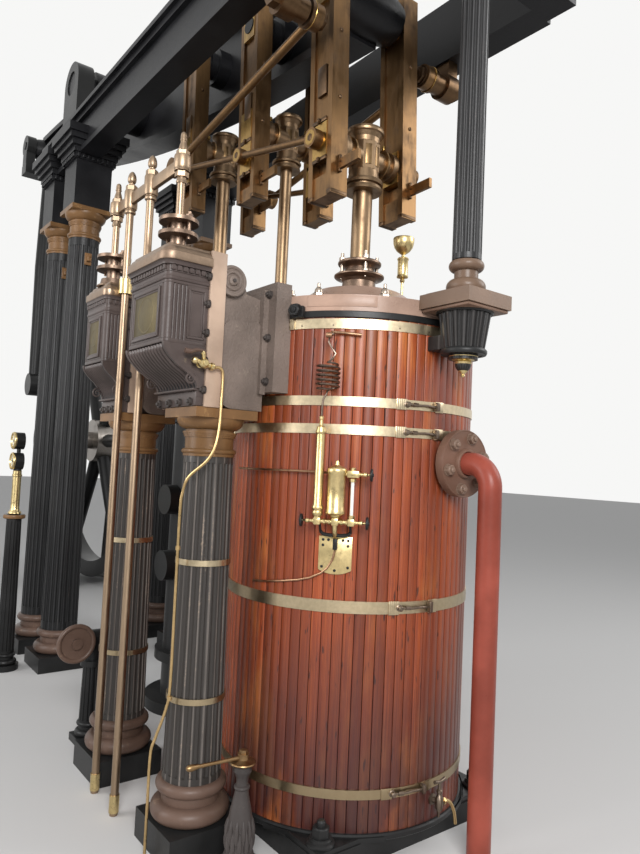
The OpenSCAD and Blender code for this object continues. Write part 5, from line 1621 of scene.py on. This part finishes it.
@dataclass
class LinkDress:
    """Rivets, gib hooks, cotter heads and oil caps of one pair of links."""

    name: str = "low"
    body: str = "low_link_pair"
    arm: float = 3.0
    tail: float = 0.28
    beam_arm: float = 3.0
    tilt: float = 12.0
    foot_height: float = 3.155
    link_y: float = 0.235
    half_gap: float = 0.055
    bar: float = 0.034
    half_width: float = 0.05
    length: float = 0.79694
    lean: float = -2.3573

    def frame_at(self, side: float) -> Matrix:
        """Return the link's own frame, on the side that side names."""
        tilt = radians(self.tilt)
        foot = ((self.arm - self.beam_arm) * cos(tilt), side * self.link_y,
                self.foot_height + (self.beam_arm - self.arm) * sin(tilt))
        return Matrix.Translation(foot) @ Matrix.Rotation(radians(self.lean), 4, "Y")

    def build(self) -> None:
        """Fit both links of the pair."""
        iron = Shaper(f"{self.name}_link_fastenings", Shade.LINK_DARK)
        brass = Shaper(f"{self.name}_link_oil_caps", Shade.LINK_BRASS)
        face = self.half_gap + self.bar
        for side in (-1.0, 1.0):
            link = self.frame_at(side)
            for s in (-1.0, 1.0):
                for z in (0.205, 0.545):
                    at = link @ placed((s * (face - 0.0005), 0.0, z), (s, 0.0, 0.0), UP)
                    iron.turned(mm((0, 0), (9.5, 0), (9, 4), (5.5, 7), (0, 8)), at, 18)
                hook = link @ placed((s * (face + 0.0075), 0.0, -0.175), UP, OUTWARD)
                iron.block((0.016, 0.02, 0.088), hook, 0.006)
                pin = link @ placed((s * (face + 0.021), 0.009, -0.128), FAR, OUTWARD)
                iron.turned(mm((0, -26), (4.5, -26), (4.5, 10), (0, 11)), pin, 10)
                chamfer = link @ placed((s * (self.half_gap + self.bar / 2), 0.0, -self.tail + 0.022),
                                        DOWN, OUTWARD)
                iron.block((self.bar + 0.003, 2 * self.half_width + 0.003, 0.022), chamfer, 0.006)
            for z, w in ((0.098, 0.02), (-0.096, 0.018)):
                at = link @ placed((0.0, side * (self.half_width - 0.012), z), (0.0, side, 0.0), OUTWARD)
                iron.block((2 * self.half_gap - 0.004, w, 0.02), at, 0.003)
                head = link @ placed((0.0, side * (self.half_width + 0.006), z), (0.0, side, 0.0), OUTWARD)
                iron.bolt(0.0125, 0.009, head, 0.3)
            for s in (-1.0, 1.0):
                at = link @ placed((s * 0.03, side * (self.half_width + 0.003), self.length + 0.078),
                                   (0.0, side, 0.0), OUTWARD)
                brass.bolt(0.0105, 0.008, at, 0.3)
            gib = link @ placed((0.012, side * (self.half_width - 0.016), 0.3), (0.0, side, 0.0), OUTWARD)
            iron.block((0.066, 0.15, 0.022), gib, 0.003)
        iron.done(self.body)
        brass.done(self.body)


@dataclass
class CrossheadDress:
    """Oil cups, panels and collars of one crosshead."""

    name: str = "low"
    body: str = "low_piston"
    x: float = 0.0
    z: float = 3.155
    rod: float = 0.05

    def build(self) -> None:
        """Fit the cups over the journals and the panels on the socket's flats."""
        brass = Shaper(f"{self.name}_crosshead_oilers", Shade.LINK_BRASS)
        iron = Shaper(f"{self.name}_crosshead_trim", Shade.CROSSHEAD)
        for s in (-1.0, 1.0):
            at = placed((self.x, s * 0.128, self.z + 0.07))
            brass.turned(mm((0, 0), (10, 0), (10, 6), (6.5, 9), (6.5, 14), (10.5, 17), (11.5, 34),
                            (9.5, 38), (0, 40)), at, 18)
            ring = placed((self.x, s * 0.1, self.z), (0.0, s, 0.0), OUTWARD)
            iron.turned(mm((55, 0), (74.5, 1), (76.5, 6), (74.5, 11), (55, 12)), ring, 36, True)
        for k in range(8):
            a = radians(22.5 + k * 45.0)
            if k in (1, 2, 5, 6):
                continue
            r = (self.rod + 0.028) * cos(pi / 8) - 0.001
            at = placed((self.x + r * cos(a), r * sin(a), self.z),
                        (cos(a), sin(a), 0.0), (0, 0, 1))
            w = (self.rod + 0.028) * 0.42
            iron.block((0.104, w, 0.0035), at, 0.0016)
        iron.turned([(0.0, 0.1405), (self.rod - 0.012, 0.1405), (self.rod - 0.006, 0.146),
                     (self.rod - 0.016, 0.152),
                     (0.012, 0.154), (0.0, 0.156)], placed((self.x, 0.0, self.z)), 30)
        brass.done(self.body)
        iron.done(self.body)


@dataclass
class PivotDress:
    """Nuts, washers and brass rings of the radius rods' pivots."""

    x: float = 0.03
    z: float = 3.72
    rod_y: float = 0.378

    def build(self) -> None:
        """Fit both pivots."""
        brass = Shaper("pivot_rings", Shade.LINK_BRASS)
        iron = Shaper("pivot_nuts", Shade.LINK_DARK)
        for s in (-1.0, 1.0):
            at = placed((self.x, s * (self.rod_y + 0.0245), self.z), (0.0, s, 0.0), UP)
            brass.turned(mm((36, 0), (66, 0), (67.5, 2.5), (66, 5), (36, 5.2)), at, 40, True)
            inner = placed((self.x, s * (self.rod_y - 0.028), self.z), (0.0, -s, 0.0), UP)
            iron.bolt(0.044, 0.02, inner, 0.35)
        brass.done()
        iron.done()


@dataclass
class ParallelBarDress:
    """Nearly flush washers and pin heads on the bars' eyes, which the radius rods pass by."""

    pins: tuple[tuple[float, float], ...] = ((0.0, 3.155), (-0.7043, 3.3047))
    face: float = 0.347

    def build(self) -> None:
        """Fit them on both bars."""
        washers = Shaper("bar_washers", Shade.LINK_BRASS)
        bolts = Shaper("bar_bolts", Shade.LINK_DARK)
        for x, z in self.pins:
            for s in (-1.0, 1.0):
                at = placed((x, s * (self.face - 0.0005), z), (0.0, s, 0.0), UP)
                washers.turned(mm((0, 0), (36, 0), (36, 1), (35, 1.8), (26, 1.8), (25, 1),
                                  (0, 1)), at, 36)
                bolts.prism(regular(6, 0.019, 0.2), 0.0016, raised(at, 0.0006), 0.0005)
        washers.done("parallel_bar_pair")
        bolts.done("parallel_bar_pair")


@dataclass
class SideFlangeDress:
    """Raised ring, hexagon bolts and packing collar of the side flange."""

    y: float = 0.11
    z: float = 1.625
    face_x: float = 0.637
    radius: float = 0.145

    def build(self) -> None:
        """Fit them."""
        ring = Shaper("side_flange_ring", Shade.FLANGE)
        at = placed((self.face_x - 0.0005, self.y, self.z), OUTWARD, FAR)
        ring.turned(mm((50.5, 0), (50.5, 14), (53, 18), (60, 18), (64, 14), (67, 0)),
                    at, 48, True)
        ring.turned([(self.radius - 0.006, 0.0), (self.radius - 0.003, 0.002),
                     (self.radius + 0.001, 0.0018),
                     (self.radius + 0.0022, -0.002), (self.radius + 0.0022, -0.037), (self.radius - 0.006,
                                                                                      -0.038)],
                    at, 72, True)
        ring.done()
        nuts = Shaper("side_flange_bolts", Shade.FLANGE_NUT)
        for k in range(6):
            a = radians(15.0 + k * 60.0)
            spot = at @ Matrix.Translation((cos(a) * 0.113, sin(a) * 0.113, 0.0))
            nuts.bolt(0.0225, 0.022, spot @ Matrix.Rotation(a, 4, "Z"), 0.45)
        nuts.done()


@dataclass
class ConsoleDress:
    """Plinth mouldings, brass drop and bracket ring of the end column's console."""

    x: float = 0.7
    console_z: float = 2.33
    corbel_z: float = 2.08

    def build(self) -> None:
        """Fit them."""
        drop = Shaper("console_brass_drop", Shade.BRASS)
        drop.turned(mm((0, -76), (6, -74), (10, -68), (7, -62), (13, -56), (20, -48), (21, -42),
                       (13, -36), (13, -31), (26, -27), (34, -20), (36, -12), (32, -6), (46, -3),
                       (58, 4), (61, 12), (55, 20),
                       (0, 21)), placed((self.x, 0.0, self.corbel_z - 0.02)), 36)
        drop.done()
        iron = Shaper("console_rings", Shade.BLACK)
        iron.turned(mm((78, 0), (94, 0), (97.5, 7), (97.5, 16), (94, 22), (88, 26),
                       (78, 26)), placed((self.x, 0.0, self.corbel_z - 0.002)), 44, True)
        iron.turned(mm((100, 0), (116, 0), (121, 6), (121, 14), (116, 20), (100, 20)),
                    placed((self.x, 0.0, self.console_z - 0.082)), 44, True)
        iron.done()
        plinth = Shaper("console_plinth_moulding", Shade.PLINTH)
        for z, half, h in ((self.console_z - 0.0745, 0.127, 0.015),
                           (self.console_z - 0.0005, 0.118, 0.0095)):
            plinth.block((2 * half, 2 * half, h), placed((self.x, 0.0, z)), 0.0062)
        plinth.done()


@dataclass
class BaseDress:
    """Corner pads, holding down bolts and the drain cock at the cylinder's foot."""

    side: float = 1.04
    top: float = 0.09
    corner: float = 0.06
    round_foot: float = 0.6

    def pads(self, iron: Shaper) -> None:
        """Add a raised pad, a boss, a nut and a bolt at each corner."""
        half = self.side / 2
        reach = degrees(acos((half - 0.004) / self.round_foot))
        for k in range(4):
            turn = Matrix.Rotation(radians(45 + 90 * k), 4, "Z")
            corner = (half - 0.004) * sqrt(2)
            arc = [radians(a) for a in (-45 + reach, -25, -12, 0, 12, 25, 45 - reach)]
            outline = [(corner, 0.0)] + [(self.round_foot * cos(a),
                                          self.round_foot * sin(a)) for a in arc[::-1]]
            iron.prism(outline, 0.02, raised(turn, self.top - 0.001), 0.004)
            at = turn @ placed(((half - self.corner) * sqrt(2), 0.0, self.top + 0.018))
            iron.turned(mm((0, 0), (54, 0), (56.5, 4), (56.5, 12), (50, 17), (46, 19), (46, 27),
                           (42, 30), (0, 30)), at, 40)
            iron.bolt(0.0365, 0.038, raised(at, 0.028), 0.6)

    def cock(self) -> None:
        """Add the drain cock low on the lagging, with its tail and bent outlet."""
        metal = Shaper("cylinder_drain_cock", Shade.WORN_STEEL)
        wall = on_wall(4.5, 0.2, 0.574)
        metal.turned(mm((0, 0), (23, 0), (23, 6), (13, 9), (11, 30), (0, 31)), wall, 24)
        barrel = Matrix.Translation(tuple(wall @ Vector((0.0, 0.0, 0.04))))
        metal.turned(mm((0, -60), (4, -60), (6, -40), (10, -34), (16.5, -22), (18, 0), (16.5, 20),
                        (11, 28), (9, 36), (12.5, 40), (12.5, 50), (7, 54), (6, 88),
                        (0, 89)), barrel, 24)
        bar = [tuple(wall @ Vector(p)) for p in ((-0.034, 0.09, 0.04), (0.0, 0.084, 0.041),
                                                 (0.034, 0.09, 0.04))]
        metal.tube(bar, [0.008, 0.006, 0.008], 12)
        metal.done()
        pipe = Shaper("cylinder_drain_pipe", Shade.BRASS_PIPE)
        points = ((0.01, 0.0, 0.04), (0.04, -0.002, 0.042), (0.07, -0.02, 0.046), (0.088, -0.058, 0.052),
                  (0.094, -0.1, 0.056), (0.095, -0.109, 0.056))
        pipe.tube(smooth_path([tuple(wall @ Vector(p)) for p in points], 6), 0.0075, 12)
        pipe.nut(0.015, 0.012, wall @ placed((0.022, -0.001, 0.041), (1.0, -0.05, 0.05)))
        pipe.done()

    def build(self) -> None:
        """Build pads, rim and cock."""
        iron = Shaper("base_plate_pads", Shade.BLACK)
        self.pads(iron)
        rim = mm((560, 0), (586, 0), (590, 4), (590, 20), (584, 26), (560, 28))
        iron.turned(rim, placed((0.0, 0.0, self.top)), 96, True)
        iron.done()
        self.cock()


@dataclass
class GaugeDress:
    """Brass cases, dials and hands of the two gauges on their stand."""

    x: float = -2.75
    y: float = -0.89
    heights: tuple[float, float] = (1.51, 1.66)

    def build(self) -> None:
        """Fit both gauges."""
        brass = Shaper("gauge_cases", Shade.BRASS)
        dials = Shaper("gauge_dials", Shade.DIAL)
        hands = Shaper("gauge_hands", Shade.BLACK)
        for z, lean in zip(self.heights, (0.6, -0.4)):
            at = placed((self.x, self.y - 0.0305, z), NEAR, UP)
            brass.turned(mm((50, 0), (62, 0), (64, 4), (64, 12), (60, 18), (54, 19), (52, 14),
                            (50, 8)), at, 48, True)
            dials.turned(mm((0, 4), (50, 4), (51, 7), (0, 7.5)), at, 40)
            needle = at @ Matrix.Rotation(lean, 4, "Z") @ Matrix.Translation((0.0, 0.0, 0.009))
            hands.prism(mm((-12, -3), (38, -0.8), (38, 0.8), (-12, 3)), 0.0014, needle, 0.0003)
            hands.turned(mm((0, 0), (6, 0), (5, 3), (0, 4)), needle, 14)
            for k in range(11):
                mark = at @ Matrix.Rotation(radians(-135 + 27 * k), 4, "Z")
                hands.block((0.008, 0.0016, 0.0012), mark @ Matrix.Translation((0.041, 0.0, 0.0072)),
                            0.0003)
        brass.done()
        dials.done()
        hands.done()
        self.sleeve()

    def sleeve(self) -> None:
        """Draw the brass tube under the gauges and the bronze collar it stands on."""
        at = placed((self.x, self.y, 0.0))
        tube = Shaper("gauge_sleeve", Shade.BRASS)
        tube.turned(mm((28.3, 1121.5), (42, 1121.5), (47, 1128), (44, 1138), (35, 1147), (31, 1160),
                       (30, 1200), (30, 1395), (34, 1400), (34, 1412), (30, 1417), (30, 1438),
                       (28.3, 1440)), at, 40, True)
        tube.done()
        collar = Shaper("gauge_collar", Shade.CAPITAL)
        collar.turned(mm((70.3, 1092), (74, 1093), (76.5, 1098), (76.5, 1110), (73, 1118),
                         (70.3, 1119)), at, 40, True)
        collar.done()


@dataclass
class StartingStand:
    """Baluster shaped stand with leaves round its foot, and the lever on its saucer."""

    x: float = 0.285
    y: float = -0.725
    lever_z: float = 0.4105
    heading: float = -95.0

    def stand(self) -> None:
        """Turn the stand and lay two rows of leaves round it."""
        iron = Shaper("starting_stand", Shade.BOLLARD)
        at = placed((self.x, self.y, 0.0))
        iron.turned(mm((0, 0), (90, 0), (90, 36), (86, 41), (66, 48), (56, 56), (53, 62), (57, 66),
                       (60, 73), (57, 80), (50, 85), (47.5, 95), (49.5, 125), (50.5, 155), (49.5, 185),
                       (46, 215), (40.5, 245), (33.5, 278), (28, 303), (25.5, 316), (30, 320),
                       (32, 326), (30, 332), (23.5, 336), (22.5, 345), (24, 360), (29, 374), (35, 384),
                       (36, 392), (33, 398), (33, 410), (0, 410)), at, 48)
        base = Vector((self.x, self.y, 0.0))
        rows = (((0.048, 0.086), (0.05, 0.11), (0.0515, 0.135), (0.05, 0.16), (0.048, 0.176)),
                ((0.05, 0.125), (0.0512, 0.15), (0.0515, 0.172), (0.048, 0.196), (0.044, 0.214)))
        for row, profile in enumerate(rows):
            for k in range(12):
                a = 2 * pi * (k + 0.5 * row) / 12
                out = Vector((cos(a), sin(a), 0.0))
                path = [tuple(base + out * r + Vector((0.0, 0.0, z))) for r, z in profile]
                iron.tube(path, [0.0045, 0.01, 0.0105, 0.0065, 0.0018], 8)
        iron.done("engine_frame", "lever_stand")

    def lever(self) -> None:
        """Turn the saucer, its boss and nut, and draw the lever out to its knob."""
        bronze = Shaper("starting_lever", Shade.CROSSHEAD)
        at = placed((self.x, self.y, self.lever_z))
        bronze.turned(mm((0, 0), (32, 0), (46, 3), (52, 9), (50, 13), (40, 16), (30, 18), (23, 22),
                         (21.5, 30), (21.5, 40), (24, 42), (24, 44), (0, 44)), at, 40)
        bronze.nut(0.0175, 0.0135, raised(at, 0.0435))
        turn = radians(self.heading)
        reach = mm((0, 8.5), (50, 8), (120, 7), (185, 8), (200, 11), (215, 13), (228, 12), (236, 6))
        path = [(self.x + r * cos(turn), self.y + r * sin(turn), self.lever_z + 0.028) for r,
                _ in reach]
        bronze.tube(path, [w for _, w in reach], 14)
        bronze.done("lever", "start_lever")

    def build(self) -> None:
        """Build the stand and its lever."""
        self.stand()
        self.lever()


@dataclass
class ColumnDress:
    """Small bronze brackets under the columns' capitals and dentils of the entablature."""

    xs: tuple[float, float] = (-3.2472, -2.6872)
    y: float = 0.535
    top: float = 3.46
    girder_z0: float = 3.85

    def build(self) -> None:
        """Fit brackets and dentils on both sides."""
        bronze = Shaper("column_brackets", Shade.CAPITAL)
        iron = Shaper("entablature_dentils", Shade.GIRDER)
        for x in self.xs:
            for s in (-1.0, 1.0):
                at = placed((x + 0.113, s * self.y, self.top - 0.395), OUTWARD, FAR)
                bronze.block((0.052, 0.092, 0.012), at, 0.003)
                bronze.block((0.03, 0.05, 0.036), at @ Matrix.Translation((0.0, 0.004, 0.01)), 0.005)
                bronze.bolt(0.012, 0.009, at @ Matrix.Translation((0.0, 0.016, 0.046)), 0.4)
                half = 0.136 + 0.014
                for k in range(8):
                    off = -half + 0.022 + k * (2 * half - 0.044) / 7
                    for ux, uy in ((1, 0), (-1, 0), (0, 1), (0, -1)):
                        place = (x + ux * (half + 0.004) + uy * off,
                                 s * self.y + uy * (half + 0.004) + ux * off,
                                 self.girder_z0 - 0.034)
                        iron.block((0.022, 0.022, 0.03), placed(place), 0.002)
        bronze.done()
        iron.done()


def main() -> None:
    """Dress the engine, one sub-assembly after another."""
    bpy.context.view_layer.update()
    Studio().build()
    NodeFinisher().dress()
    Lagging().build()
    Lagging("lagging_boards_high", Shade.BOARDS_HIGH, -0.7121, 0.4, 54, 0.0, other=(0.0, 0.575)).build()
    BandFittings().build()
    CylinderTop().build()
    CylinderTop("high", -0.7121, 0.4, 0.035, 2.58, 0.106, 8, -58.0, None).build()
    CoverOiler().build()
    Lubricator().build()
    ValveChest().build()
    ValveChest("high_chest", "high_valve_chest", -0.8, 0.1375, 1.045, 0.014, 11, corner=0.022).build()
    PassageDress().build()
    PassageDress("high_passage", -0.8, 0.1375, flange_y=0.445).build()
    DrainCock().build()
    ValveGear().build()
    LinkDress().build()
    LinkDress("high", "high_link_pair", 2.28, 0.245).build()
    LinkDress("pump", "pump_link_pair", 1.5, 0.28).build()
    CrossheadDress().build()
    CrossheadDress("high", "high_piston", -0.7121, 3.4958, 0.035).build()
    CrossheadDress("pump", "pump_plunger", -1.4836, 3.6599, 0.045).build()
    PivotDress().build()
    ParallelBarDress().build()
    SideFlangeDress().build()
    ConsoleDress().build()
    BaseDress().build()
    GaugeDress().build()
    StartingStand().build()
    ColumnDress().build()


if __name__ == "__main__":
    main()
